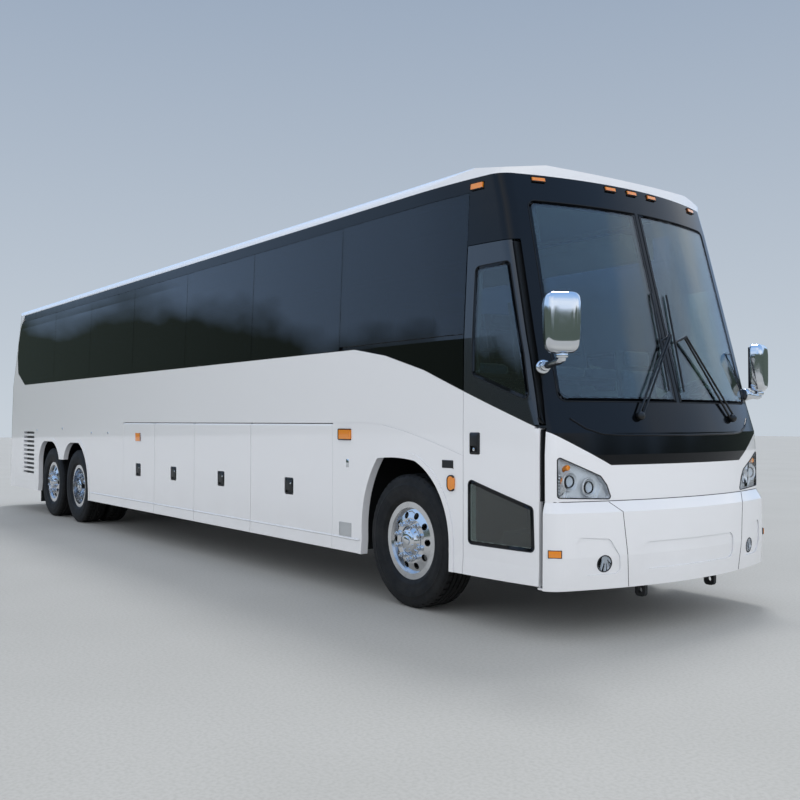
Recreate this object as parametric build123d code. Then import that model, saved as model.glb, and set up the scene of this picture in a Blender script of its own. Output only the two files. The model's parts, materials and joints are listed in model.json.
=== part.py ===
"""Three-axle highway coach, 13.6 m long, as separate panels, glass, doors, axles and wheels.

+X is forward, +Y is the driver's side, +Z is up. The origin is the middle of the footprint on
the ground. Stations along the coach are measured from the front axle and shifted when a piece
is written. Sizes are millimetres.
"""
import os
from math import cos, hypot, pi, radians, sin, sqrt

from build123d import *

# Overall sizes
FRONT_REACH = 1920.0      # front axle to the foremost point of the door-side mirror
REAR_REACH = 11700.0      # front axle to the rear bumper's face
WHEELBASE = 8050.0
TAG_SPACING = 1205.0
FRONT_AXLE_X = (REAR_REACH - FRONT_REACH) / 2
MIRROR_REACH = 1500.0     # mid plane to a mirror's outer side

# Reach of the outlines that are run across or along the coach
SIDE_FROM_Y = 900.0
SIDE_TO_Y = 1450.0
FRONT_FROM_X = 700.0
FRONT_TO_X = 2000.0

# Body shell
WALL = 60.0
GLASS = 20.0
SEAM = 6.0                # gap round a door or a pane
BELT_Z = 1465.0           # top of the luggage doors
SILL_Z = 2090.0           # lower edge of the side glass
RAIL_Z = 3176.0           # upper edge of the side glass
ROOF_EDGE_Z = 3280.0
ROOF_TOP_Z = 3460.0
ROOF_SHOULDER = (1160.0, 3368.0)
ROOF_EDGE_RADIUS = 92.0
ROOF_RIM = 12.0
ROOF_FRONT = ((200.0, ROOF_TOP_Z), (720.0, 3428.0), (1600.0, 3227.0))
ROOF_HIP = (1010.0, 1170.0, 3316.0)   # point on the flat that slopes down to each front corner
ROOF_HIP_SLOPE = 0.18     # its fall forwards and outwards
ROOF_HIP_DEPTH = 400.0    # height of what is cut away over it
ROOF_REAR = ((-11600.0, 3346.0), (-11200.0, 3428.0), (-10700.0, ROOF_TOP_Z))
SKIRT_Z = 365.0
FRONT_RADIUS = 3400.0     # plan radius of the front
TOE_RADIUS = 6500.0       # plan radius of the sides where they close in
TOE_RUN = 1150.0          # how far behind the nose the sides start to close in
CORNER_RADIUS = 150.0
TAIL_RADIUS = 260.0

# The body's plan outline at each height
SECTIONS = (
    # height, nose, half width, tail
    (330.0, 1745.0, 1296.0, 11670.0),
    (490.0, 1748.0, 1284.0, 11670.0),
    (930.0, 1750.0, 1283.0, 11670.0),
    (1250.0, 1750.0, 1283.0, 11660.0),
    (1400.0, 1736.0, 1283.0, 11655.0),
    (1620.0, 1665.0, 1282.0, 11640.0),
    (2090.0, 1542.0, 1281.0, 11595.0),
    (3060.0, 1289.0, 1242.0, 11355.0),
    (3280.0, 1222.0, 1236.0, 11300.0),
)

# Seams seen from the side, as station and height
REAR_SEAM_X = -11220.0
DOOR_REAR_X = 728.0
QUARTER_REAR_X = -1040.0
BAY_SPLITS = (-1040.0, -2570.0, -3915.0, -5055.0, -6095.0)
WINDOW_SPLITS = (-9110.0, -7465.0, -5820.0, -4200.0, -2580.0, -940.0)
FRONT_SEAM = ((1494.0, 200.0), (1494.0, 1425.0), (1377.0, 1941.0), (1176.0, 2762.0), (1049.0, 3280.0))
SWEEP = ((-940.0, 2090.0), (-700.0, 2090.0), (-250.0, 2015.0), (260.0, 1876.0), (1494.0, 1416.0))
GLASS_REAR = ((-10670.0, 2090.0), (-11100.0, 2300.0), (-11185.0, 2560.0), (-11180.0, 2800.0),
              (-11080.0, 3090.0), (-10860.0, 3280.0))
SPLIT_LINE_Z = 2122.0     # thin split across the foremost side window

# Front
BUMPER_TOP_Z = 930.0
BUMPER_LIP_Z = 860.0
BUMPER_BOTTOM_Z = 340.0
MASK_Z = 1178.0           # lower edge of the black mask on the front
MASK_HALF = 742.0         # half width of that level edge
MASK_SLOPE = 0.512        # rise of the edge beyond it
SCREEN = ((1075.0, 1618.0), (1012.0, 3078.0))   # lower and upper corner: half width, height
SCREEN_CORNER = 60.0
DIVIDER = 44.0

# Wheels
TYRE_RADIUS = 530.0
TYRE_WIDTH = 300.0
TYRE_OUTER_Y = 1245.0
DUAL_SPACING = 345.0
RIM_RADIUS = 292.0        # bead seat
RIM_BORE = 262.0
RIM_HALF = 116.0          # half width over the flanges
FLANGE = 16.0             # how far a flange stands above the bead seat
FLANGE_WIDTH = 14.0
FLANGE_SLOPE = 8.0
TYRE_SIDE = (
    # in from the tyre's side, radius
    (14.0, 338.0),
    (0.0, 407.0),
    (8.0, 475.0),
    (24.0, 518.0),
    (44.0, TYRE_RADIUS),
)
DISC = 24.0               # thickness of the disc
HUB_RADIUS = 118.0
HUB_FACE = 62.0           # width of the bolting face round the hub
HUB_NOSE = 60.0           # how far the hub stands out of the disc
HUB_BACK = 110.0
HUB_TIP = 30.0            # how much narrower the hub's end is
HUB_SHOULDER = 6.0        # how much narrower it is halfway out
SPINDLE_RADIUS = 40.0
SPINDLE_SHORT = 40.0      # spindle's end in from the tyre's outer face
FIT = 0.3                 # running clearance at pins and spindles
HAND_HOLES = 10
HAND_HOLE_RADIUS = 27.0
HAND_HOLE_CIRCLE = 206.0
TRACK_Y = TYRE_OUTER_Y - TYRE_WIDTH / 2
KINGPIN_Y = 925.0
KINGPIN_RADIUS = 24.0
ARCH_TOP_Z = 1189.0
REAR_ARCH_TOP_Z = 1165.0
ARCH_BOTTOM_Z = 200.0
HOUSING_HALF = 665.0
REAR_HOUSING = 790.0      # drive axle to the front of the rear housing
HOUSING_INNER_Y = 520.0
HOUSING_ROOM = 70.0       # housing's top above the arch
SHEET = 12.0
BEAM_DROP = 105.0         # front beam's middle below the wheels' centres
BEAM_RADIUS = 36.0
BELLOW_RADIUS = 65.0
TUBE_RADIUS = 70.0
DRIVE_BOWL = 190.0
BEAM_KNEE = 190.0         # bend of the front beam, out from a rail
BEAM_END = 20.0           # beam's end below the wheels' centres
KNUCKLE_HALF = 122.0
KNUCKLE_EYE = 52.0        # radius of a knuckle's eyes, and its plate's distance from the kingpin
KNUCKLE_PLATE = 30.0      # thickness of the plate
KNUCKLE_PLATE_HALF = 60.0
KNUCKLE_ARM_HALF = 40.0
BOSS_HALF = 70.0
BOSS_RADIUS = 48.0
EAR_GAP = 5.0
AXLE_SLOT = 90.0          # room round an axle where it passes a housing

# Wheel openings, stations counted from the front axle and from midway between the rear axles
FRONT_ARCH = (
    # corner, middle of the arc that leads to the next corner
    ((-572.0, ARCH_BOTTOM_Z), None),
    ((-572.0, 520.0), (-525.0, 880.0)),
    ((-350.0, 1176.0), (-90.0, ARCH_TOP_Z)),
    ((150.0, 1172.0), (455.0, 940.0)),
    ((576.0, 520.0), None),
    ((596.0, ARCH_BOTTOM_Z), None),
)
REAR_ARCHES = (
    ((-1142.5, ARCH_BOTTOM_Z), None),
    ((-1142.5, 780.0), (-1032.5, 1070.0)),
    ((-852.5, REAR_ARCH_TOP_Z), None),
    ((-472.5, REAR_ARCH_TOP_Z), (-252.5, 1085.0)),
    ((-105.0, 900.0), None),
    ((105.0, 900.0), (252.5, 1090.0)),
    ((452.5, REAR_ARCH_TOP_Z), None),
    ((792.5, REAR_ARCH_TOP_Z), (1072.5, 960.0)),
    ((1202.5, 640.0), None),
    ((1287.5, ARCH_BOTTOM_Z), None),
)

# Floors
DECK = 60.0
BAY_FLOOR_Z = 400.0
BAY_FLOOR = 40.0
BULKHEAD = 40.0
RAIL_Y = 400.0
RAIL_W = 80.0
RAIL_BOTTOM_Z = 720.0
RAIL_TOP_Z = 840.0
ENGINE_X = (-11150.0, -9980.0)
ENGINE_Z = (520.0, 1340.0)

MUD_FLAP = (-1215.0, -640.0, 180.0, 640.0)      # outer and inner y, lower and upper edge
HOUSING_LIP = 20.0        # lower edge of a wheel housing above the skirt's

# Door hinges
DOOR_GAP = 40.0           # sealed gap at the entrance door's front edge
DOOR_PIVOT = 58.0         # front seam back to the entrance door's axis
DOOR_AXIS = (FRONT_SEAM[0][0] - DOOR_PIVOT, -1200.0)
DOOR_TOP_Z = 2772.0
PIN_RADIUS = 8.0
TAB_HALF = 16.0           # half width of a hinge tab
TAB_THICK = 14.0
TAB_Z = 1436.0            # underside of the upper hinge tab
TAB_ROOM = 6.0            # clearance of the notch round a tab
PIN_BELOW = 42.0          # how far the upper pin runs below its tab
PIN_ABOVE = 56.0          # and above it
PIN_INTO_DOOR = 40.0      # how far the lower pin runs into the door
BAY_HINGE = 18.0          # bay hinge axis, in from the skin and down from the door's top

SKIN = 5.0                # thickness of the door edges that lap over the posts
POST_INSET = 11.0         # skin to the outer face of a post
POST_ROOM = 28.0          # room beside a bay split for the post
BAY_PIN = 6.0
BAY_PIN_GRIP = 12.0       # length of a pin inside its post
HINGE_ROOM = 3.0          # clearance of a door's edge round its own hinge
BAY_FLOOR_Y = 1205.0
ENGINE_HINGE = 20.0
BOSS = 20.0               # length of the engine door's pin in the rear cap

# Glass, lamps and grilles, as station or y and height
DOOR_GLASS = ((822.0, 1816.0), (1370.0, 1614.0), (1306.0, 1942.0), (1138.0, 2620.0), (822.0, 2610.0))
DOOR_LOW_GLASS = ((788.0, 592.0), (1415.0, 590.0), (1405.0, 893.0), (788.0, 1062.0))
POST = 38.0               # half width of a window post
REAR_POST = 280.0         # rear pane's clear part behind the foot of the glass line
LOW_PANE_REAR = (-560.0, SPLIT_LINE_Z)
SCREEN_LAP = 34.0         # how far the mask runs in behind the screen
LAP = 25.0                # how far a door runs in behind its glass
HEADLAMP = ((-1146.0, 1240.0), (-1146.0, 962.0), (-742.0, 946.0), (-779.0, 1043.0), (-827.0, 1104.0))
FOG_POCKET = ((-1053.0, 700.0), (-800.0, 680.0), (-722.0, 560.0), (-708.0, 440.0), (-986.0, 440.0),
              (-1045.0, 520.0))
FOG_Y = 835.0
FOG_Z = 512.0
FOG_RADIUS = 55.0
FOG_POCKET_RADIUS = 45.0
PANE_RADIUS = 40.0        # corners of the door's and the driver's window
PANE_HOLE_RADIUS = 30.0
LOW_PANE_RADIUS = 35.0    # corners of the door's lower pane
LOW_HOLE_RADIUS = 25.0
POCKET_RADIUS = 20.0      # corners of a handle's or a latch's pocket
HEADLAMP_RADIUS = 18.0
REAR_WINDOW_RADIUS = 90.0
REAR_HOLE_RADIUS = 60.0
LOUVRES = 10
LOUVRE_X = (-10685.0, -10085.0)
LOUVRE_Z = 625.0
LOUVRE_PITCH = 72.0
LOUVRE_HEIGHT = 38.0
LAMP_PROUD = 12.0
LAMP_RUN = 900.0
FRONT_MARKER = (100.0, 34.0)
FRONT_MARKERS = (-890.0, -235.0, 0.0, 245.0, 890.0)
FRONT_MARKER_Z = 3245.0
SIDE_MARKERS = (
    # station, height, width, height of the lens, radius of its corners
    (-840.0, 1367.0, 190.0, 90.0, 10.0),
    (600.0, 1020.0, 78.0, 112.0, 36.0),
    (800.0, 3215.0, 120.0, 50.0, 8.0),
)
DOOR_MARKER = (-5574.0, 1281.0, 150.0, 100.0)   # the same, on the rearmost luggage doors
TAIL_LAMPS = (
    # y, height, radius
    (1085.0, 1100.0, 55.0),
    (1085.0, 1240.0, 55.0),
    (1085.0, 1380.0, 55.0),
    (1000.0, 3150.0, 40.0),
)
REAR_WINDOW = (860.0, 2250.0, 2980.0)      # half width, lower and upper edge
ENGINE_DOOR = (960.0, 960.0, 1900.0)       # half width, lower and upper edge
REAR_BUMPER_TOP_Z = 900.0

# Bumpers: height, nose, half width, tail
BUMPER_SECTIONS = (
    (340.0, 1785.0, 1294.0, 11670.0),
    (560.0, 1805.0, 1286.0, 11670.0),
    (860.0, 1800.0, 1284.0, 11670.0),
    (930.0, 1752.0, 1283.0, 11670.0),
)
REAR_BUMPER_SECTIONS = (
    (365.0, 1750.0, 1295.0, 11685.0),
    (480.0, 1750.0, 1286.0, 11700.0),
    (840.0, 1750.0, 1284.0, 11700.0),
    (900.0, 1750.0, 1283.0, 11672.0),
)
BUMPER_SPLIT = (770.0, 692.0, 636.0)       # half width at its top, lip and bottom
BUMPER_CREASE = (520.0, 645.0, 455.0)      # half width, upper and lower edge
CREASE_DEPTH = 10.0
CREASE_RADIUS = 60.0

# Cab and cabin
DECK_FRONT_X = 690.0
CAB_FRONT_X = 1640.0
CAB_Z = 1100.0
CAB_FLOOR = 40.0
STEP_WIDTH_Y = -330.0
STEP_OUTER_Y = 1110.0
STEP_Z = 420.0
STEPS = 3
STEP_LENGTH = 700.0
SEAT_ROWS = 12
SEAT_PITCH = 860.0
SEAT_FIRST_X = 150.0
SEAT_AISLE_Y = 230.0
SEAT_WIDTH = 930.0
SEAT_PROFILE = (          # back from the front of the base, up from the floor
    (0.0, 0.0), (0.0, 330.0), (-40.0, 350.0), (-40.0, 450.0), (360.0, 430.0), (480.0, 1080.0),
    (560.0, 1080.0), (470.0, 330.0), (330.0, 300.0), (330.0, 0.0))
DRIVER_X = 1130.0
DRIVER_Y = 640.0
DRIVER_SEAT_WIDTH = 480.0
DRIVER_PROFILE = (
    (0.0, 0.0), (0.0, 300.0), (-50.0, 320.0), (-50.0, 400.0), (290.0, 385.0), (350.0, 1000.0),
    (410.0, 1000.0), (370.0, 300.0), (250.0, 280.0), (250.0, 0.0))
DASH = ((1400.0, 1100.0), (1360.0, 1380.0), (1420.0, 1470.0), (1700.0, 1490.0), (1800.0, 1100.0))
DASH_RIGHT_Y = 330.0
DASH_LEFT_Y = 1180.0
STEERING_HUB = (1240.0, 640.0, 1690.0)
STEERING_TILT = 28.0
STEERING_RADIUS = 225.0
STEERING_RIM = 14.0
COLUMN_LENGTH = 330.0
COLUMN_RADIUS = 35.0
RACK_X = (-10900.0, 500.0)
RACK = ((-1300.0, 3130.0), (-1300.0, 2950.0), (-1050.0, 2930.0), (-720.0, 3060.0), (-720.0, 3130.0))

# Wipers
WIPERS = (
    # pivot, arm's upper end, blade's lower and upper end, each as y and height
    ((-456.0, 1519.0), (20.0, 2125.0), (-95.0, 1700.0), (-50.0, 2440.0)),
    ((678.0, 1505.0), (205.0, 2115.0), (75.0, 1700.0), (125.0, 2440.0)),
)
WIPER_ROD = 8.0
WIPER_RODS = 22.0         # half the spacing of an arm's twin rods
WIPER_PIVOT = 32.0
BLADE_OFF = 16.0          # blade's middle off the glass
ARM_OFF = 48.0            # arm's upper end off the glass

# Mirrors
MIRROR_W = 250.0
MIRROR_H = 400.0
MIRROR_D = 125.0
MIRROR_EDGE = 38.0
MIRROR_ARM = 22.0
MIRROR_DROP = 45.0        # arm's elbow below the head
MIRRORS = (
    # y and height of the arm's root, head's foremost station, height of its middle, turn, side
    (1150.0, 1850.0, FRONT_REACH, 2115.0, -31.0, -1),
    (1130.0, 1700.0, 1548.0, 1927.0, 21.0, 1),
)

# Fronts of the wheel arches and seams on the quarters
FLARE = 48.0              # width of the raised lip round an arch
FLARE_PROUD = 8.0
ARCH_SEAM = ((-1040.0, 1466.0), (-572.0, 1472.0), (-287.0, 1456.0), (1.0, 1409.0), (272.0, 1351.0),
             (545.0, 1282.0), (728.0, 1233.0))
GROOVE = 5.0
LATCH = (85.0, 80.0, 870.0)                # half width, half height and middle of a luggage latch
LATCH_DEPTH = 25.0
DOOR_HANDLE = (800.0, 910.0, 1240.0, 1400.0)

# Tow eyes
TOW_X = 1640.0
TOW_Z = 285.0
TOW_BORE = 20.0
TOW_PLATE = 30.0
TOW_HALF = 45.0
TOW_RADIUS = 30.0
JACK_FRONT_X = -820.0
JACK_REAR_X = -6900.0
JACK_HALF = 75.0          # half length of a jacking pad under a rail

nodes = {}


def put(name, *shapes):
    """Keep a node: its solids, shifted from the front axle to the middle of the coach."""
    solids = []
    for shape in shapes:
        solids += shape.solids()
    nodes[name] = Compound(children=[s.moved(Location((FRONT_AXLE_X, 0, 0))) for s in solids])


def flip(shape):
    return shape.mirror(Plane.XZ)


def both(shape):
    """A piece and its mirror image across the mid plane."""
    return [shape, flip(shape)]


def box(x0, x1, y0, y1, z0, z1):
    centre = ((x0 + x1) / 2, (y0 + y1) / 2, (z0 + z1) / 2)
    return Pos(*centre) * Box(x1 - x0, y1 - y0, z1 - z0)


def rod(start, end, radius):
    """A round bar between two points."""
    run = Vector(*end) - Vector(*start)
    plane = Plane(origin=start, z_dir=run)
    return extrude(plane * Circle(radius), run.length)


def outline(points, radius=0.0):
    if radius:
        return make_face(FilletPolyline(*points, radius=radius, close=True))
    return make_face(Polyline(*points, close=True))


def side_prism(points, y0=SIDE_FROM_Y, y1=SIDE_TO_Y, radius=0.0):
    """An outline of stations and heights, run across the door side of the coach."""
    return extrude(Plane.XZ.offset(y0) * outline(points, radius), y1 - y0)


def front_prism(points, x0=FRONT_FROM_X, x1=FRONT_TO_X, radius=0.0):
    """An outline of y and height, run along the coach."""
    return extrude(Plane.YZ.offset(x0) * outline(points, radius), x1 - x0)


def rectangle(x0, x1, z0, z1):
    return [(x0, z0), (x1, z0), (x1, z1), (x0, z1)]


def grown(points, amount):
    """An outline with every side moved outwards by an amount, or inwards if it is negative."""
    count = len(points)
    area = sum(points[i - 1][0] * points[i][1] - points[i][0] * points[i - 1][1] for i in range(count))
    sign = 1 if area > 0 else -1
    lines = []
    for i in range(count):
        (x0, y0), (x1, y1) = points[i], points[(i + 1) % count]
        length = hypot(x1 - x0, y1 - y0)
        nx, ny = sign * (y1 - y0) / length, sign * (x0 - x1) / length
        lines.append((nx, ny, nx * x0 + ny * y0 + amount))
    result = []
    for i in range(count):
        (a, b, c), (d, e, f) = lines[i - 1], lines[i]
        det = a * e - b * d
        result.append(((c * e - b * f) / det, (a * f - c * d) / det))
    return result


def plan_face(z, nose, half, tail, inset):
    """The body's plan at one height: arcs across the nose, round the corners and down the sides."""
    nose_c = nose - FRONT_RADIUS
    toe_x = nose - TOE_RUN
    toe_c = half - TOE_RADIUS
    r_nose = FRONT_RADIUS - CORNER_RADIUS
    r_toe = TOE_RADIUS - CORNER_RADIUS
    gap = Vector(toe_x - nose_c, toe_c)
    along = (r_nose ** 2 - r_toe ** 2 + gap.length ** 2) / (2 * gap.length)
    across = sqrt(r_nose ** 2 - along ** 2)
    unit = gap.normalized()
    corner = Vector(nose_c, 0) + unit * along + Vector(-unit.Y, unit.X) * across
    to_nose = (corner - Vector(nose_c, 0)).normalized()
    to_side = (corner - Vector(toe_x, toe_c)).normalized()
    mid = (to_nose + to_side).normalized()
    a = corner + to_nose * (CORNER_RADIUS - inset)
    b = corner + mid * (CORNER_RADIUS - inset)
    c = corner + to_side * (CORNER_RADIUS - inset)
    toe = (to_side + Vector(0, 1)).normalized() * (TOE_RADIUS - inset)
    d = Vector(toe_x, toe_c) + toe
    e = Vector(toe_x, half - inset)
    f = Vector(-tail + TAIL_RADIUS, half - inset)
    turn = (TAIL_RADIUS - inset) * sin(radians(45))
    g = Vector(-tail + TAIL_RADIUS - turn, half - TAIL_RADIUS + turn)
    h = Vector(-tail + inset, half - TAIL_RADIUS)

    def low(p):
        return Vector(p.X, -p.Y)

    edges = [
        Edge.make_three_point_arc(low(a), Vector(nose - inset, 0), a),
        Edge.make_three_point_arc(a, b, c),
        Edge.make_three_point_arc(c, d, e),
        Edge.make_line(e, f),
        Edge.make_three_point_arc(f, g, h),
        Edge.make_line(h, low(h)),
        Edge.make_three_point_arc(low(h), low(g), low(f)),
        Edge.make_line(low(f), low(e)),
        Edge.make_three_point_arc(low(e), low(d), low(c)),
        Edge.make_three_point_arc(low(c), low(b), low(a)),
    ]
    return Pos(0, 0, z) * Face(Wire(edges))


def stack(inset, sections=SECTIONS):
    """The body up to the roof edge, with every wall moved in by the inset."""
    faces = [plan_face(z, nose, half, tail, inset) for z, nose, half, tail in sections]
    return loft(faces, ruled=True)


def section_at(z):
    """The body's nose, half width and tail at a height."""
    for low, high in zip(SECTIONS, SECTIONS[1:]):
        if low[0] <= z <= high[0]:
            t = (z - low[0]) / (high[0] - low[0])
            return tuple(a + (b - a) * t for a, b in zip(low[1:], high[1:]))
    return SECTIONS[-1][1:]


def on_front(y, z, off=0.0):
    """A point at a distance off the front, at a given y and height."""
    nose = section_at(z)[0]
    return (nose - FRONT_RADIUS + sqrt(FRONT_RADIUS ** 2 - y ** 2) + off, y, z)


def crown(inset):
    """The roof: crowned across, rounded at its edges and dropped a little at both ends."""
    z, nose, half, tail = SECTIONS[-1]
    edge_y = half - inset
    shoulder_y, shoulder_z = ROOF_SHOULDER
    shoulder_z -= inset
    top = ROOF_TOP_Z - inset
    rim_z = z + ROOF_RIM
    across = make_face([
        Polyline((-edge_y, z), (edge_y, z), (edge_y, rim_z)),
        RadiusArc((edge_y, rim_z), (shoulder_y, shoulder_z), -ROOF_EDGE_RADIUS),
        ThreePointArc((shoulder_y, shoulder_z), (0, top), (-shoulder_y, shoulder_z)),
        RadiusArc((-shoulder_y, shoulder_z), (-edge_y, rim_z), -ROOF_EDGE_RADIUS),
        Line((-edge_y, rim_z), (-edge_y, z)),
    ])
    body = extrude(Plane.YZ.offset(-tail) * across, tail + nose + TOE_RUN)
    front, rear = ROOF_FRONT, ROOF_REAR
    along = make_face([
        Line((rear[0][0], SILL_Z), (front[-1][0], SILL_Z)),
        Line((front[-1][0], SILL_Z), (front[-1][0], front[-1][1] - inset)),
        ThreePointArc(*[(x, height - inset) for x, height in reversed(front)]),
        Line((front[0][0], top), (rear[-1][0], top)),
        ThreePointArc(*[(x, height - inset) for x, height in reversed(rear)]),
        Line((rear[0][0], rear[0][1] - inset), (rear[0][0], SILL_Z)),
    ])
    body &= extrude(Plane.XZ.offset(-half) * along, 2 * half)
    plan = extrude(plan_face(z, nose, half, tail, inset), ROOF_TOP_Z - z)
    x, y, hip_z = ROOF_HIP
    tilted = Plane(origin=(x, y, hip_z - inset), z_dir=(ROOF_HIP_SLOPE, ROOF_HIP_SLOPE, 1))
    above = tilted * Pos(0, 0, ROOF_HIP_DEPTH / 2) * Box(2 * x, 2 * x, ROOF_HIP_DEPTH)
    return (body & plan) - both(above)


def sweep_z(x):
    """Height of the swept colour edge at a station."""
    for a, b in zip(SWEEP, SWEEP[1:]):
        if a[0] <= x <= b[0]:
            return a[1] + (b[1] - a[1]) * (x - a[0]) / (b[0] - a[0])
    return SILL_Z


def seam_x(z):
    """Station of the front seam at a height."""
    for a, b in zip(FRONT_SEAM, FRONT_SEAM[1:]):
        if a[1] <= z <= b[1]:
            return a[0] + (b[0] - a[0]) * (z - a[1]) / (b[1] - a[1])
    return FRONT_SEAM[-1][0]


def ahead_of_seam(z0, z1):
    """Everything forward of the front seam between two heights."""
    line = [(seam_x(z0), z0)] + [p for p in FRONT_SEAM if z0 < p[1] < z1] + [(seam_x(z1), z1)]
    return side_prism(line + [(FRONT_REACH, z1), (FRONT_REACH, z0)], y0=-MIRROR_REACH, y1=MIRROR_REACH)


def panes():
    """Side glass openings of one side as outlines: the rear one, the full ones and the front pair."""
    slant = GLASS_REAR[-2:]
    t = (RAIL_Z - slant[0][1]) / (slant[1][1] - slant[0][1])
    corner = (slant[0][0] + t * (slant[1][0] - slant[0][0]), RAIL_Z)
    first = WINDOW_SPLITS[0]
    result = [[GLASS_REAR[0], (first, SILL_Z), (first, RAIL_Z), corner] + list(GLASS_REAR[-2:0:-1])]
    for x0, x1 in zip(WINDOW_SPLITS, WINDOW_SPLITS[1:]):
        result.append(rectangle(x0, x1, SILL_Z, RAIL_Z))
    result.append(rectangle(WINDOW_SPLITS[-1], DOOR_REAR_X, SPLIT_LINE_Z, RAIL_Z))
    below = [p for p in SWEEP[2:] if p[0] < DOOR_REAR_X]
    result.append([LOW_PANE_REAR] + below + [(DOOR_REAR_X, sweep_z(DOOR_REAR_X)),
                                             (DOOR_REAR_X, SPLIT_LINE_Z)])
    return [grown(points, -SEAM / 2) for points in result]


def arch(rows, station):
    """The face of a wheel opening from its rows of corners and arcs, at a station."""
    edges = []
    for (start, middle), (end, _) in zip(rows, rows[1:] + rows[:1]):
        edges.append(ThreePointArc(start, middle, end) if middle else Line(start, end))
    return Pos(station, 0) * make_face(edges)


def across_side(face, y0=SIDE_FROM_Y, y1=SIDE_TO_Y):
    """An outline face of stations and heights, run across the door side."""
    return extrude(Plane.XZ.offset(y0) * face, y1 - y0)


def flared(panel, arch, lip):
    """A side panel with a wheel opening cut and a raised lip round it."""
    ring = across_side(offset(arch, FLARE)) & lip
    ring &= box(-REAR_REACH, FRONT_REACH, -MIRROR_REACH, 0, SKIRT_Z, BELT_Z)
    return (panel + ring) - across_side(arch)


def post_box(x):
    """The room a door post takes inside the skin at a bay split."""
    half = BULKHEAD / 2
    room = box(x - half, x + half, -MIRROR_REACH, -SIDE_FROM_Y, BAY_FLOOR_Z + BAY_FLOOR, BELT_Z)
    return room & stack(POST_INSET)


def body_panels(wall, lip):
    """White side panels with the wheel arches, each as thick as the whole wall."""
    waist = side_prism([(QUARTER_REAR_X, BELT_Z), (QUARTER_REAR_X, SILL_Z)] + list(GLASS_REAR)
                       + [(REAR_SEAM_X, ROOF_EDGE_Z), (REAR_SEAM_X, BELT_Z)])
    put("waist_panels", *both(wall & waist))

    # The front quarter ends at the entrance on one side and at the front cap on the other
    edge = [p for p in SWEEP if p[0] < DOOR_REAR_X]
    back = edge[::-1] + [(QUARTER_REAR_X, SILL_Z), (QUARTER_REAR_X, SKIRT_Z)]
    entrance = [(DOOR_REAR_X, SKIRT_Z), (DOOR_REAR_X, sweep_z(DOOR_REAR_X))]
    cab = [(FRONT_SEAM[0][0], SKIRT_Z), SWEEP[-1]]
    post = post_box(BAY_SPLITS[0])
    groove = list(ARCH_SEAM) + [(x, z - GROOVE) for x, z in reversed(ARCH_SEAM)]
    groove = side_prism(groove, y0=section_at(BELT_Z)[1] - GROOVE)
    sides = []
    for front in (entrance, cab):
        panel = flared(wall & side_prism(front + back), arch(FRONT_ARCH, 0), lip)
        sides.append(panel - [post, groove])
    quarter = wall & side_prism([(REAR_SEAM_X, SKIRT_Z), (BAY_SPLITS[-1], SKIRT_Z),
                                 (BAY_SPLITS[-1], BELT_Z), (REAR_SEAM_X, BELT_Z)])
    quarter = flared(quarter, arch(REAR_ARCHES, -WHEELBASE - TAG_SPACING / 2), lip)
    slots = []
    for i in range(LOUVRES):
        z = LOUVRE_Z + i * LOUVRE_PITCH
        slots.append(side_prism(rectangle(*LOUVRE_X, z, z + LOUVRE_HEIGHT)))
    quarter -= slots + [post_box(BAY_SPLITS[-1])]
    put("quarter_panels", sides[0], flip(sides[1]), *both(quarter))


def glazing(whole, glaze, lining):
    """Side glass, the frames behind it and the panels over the door and round the driver's window."""
    one_side = [glaze & side_prism(points) for points in panes()]
    driver = glaze & side_prism(DOOR_GLASS, radius=PANE_RADIUS)
    put("side_glass", *one_side, *[flip(p) for p in one_side])
    put("driver_window", flip(driver))

    edge = [p for p in SWEEP if p[0] < DOOR_REAR_X]
    band = [GLASS_REAR[0]] + edge + [(DOOR_REAR_X, sweep_z(DOOR_REAR_X)), (DOOR_REAR_X, ROOF_EDGE_Z)]
    band += list(GLASS_REAR[:0:-1])
    stations = [GLASS_REAR[0][0] - REAR_POST] + list(WINDOW_SPLITS) + [DOOR_REAR_X]
    holes = []
    for x0, x1 in zip(stations, stations[1:]):
        holes.append(side_prism(rectangle(x0 + POST, x1 - POST, SPLIT_LINE_Z + POST, RAIL_Z - POST)))
    rail = whole & side_prism(rectangle(GLASS_REAR[-1][0], DOOR_REAR_X, RAIL_Z, ROOF_EDGE_Z))
    frame = (lining & side_prism(band)) - holes + rail
    put("window_frames", *both(frame))

    over_z = DOOR_TOP_Z + SEAM
    over = [(DOOR_REAR_X, over_z), (seam_x(over_z), over_z), FRONT_SEAM[-1], (DOOR_REAR_X, ROOF_EDGE_Z)]
    side = [(DOOR_REAR_X, sweep_z(DOOR_REAR_X)), SWEEP[-1]] + list(FRONT_SEAM[1:])
    side += [(DOOR_REAR_X, ROOF_EDGE_Z)]
    surround = whole & side_prism(side)
    surround -= glaze & side_prism(grown(DOOR_GLASS, SEAM / 2), radius=PANE_RADIUS)
    surround -= side_prism(grown(DOOR_GLASS, -LAP), radius=PANE_HOLE_RADIUS)
    put("cab_side_panels", whole & side_prism(over), flip(surround))


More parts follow.
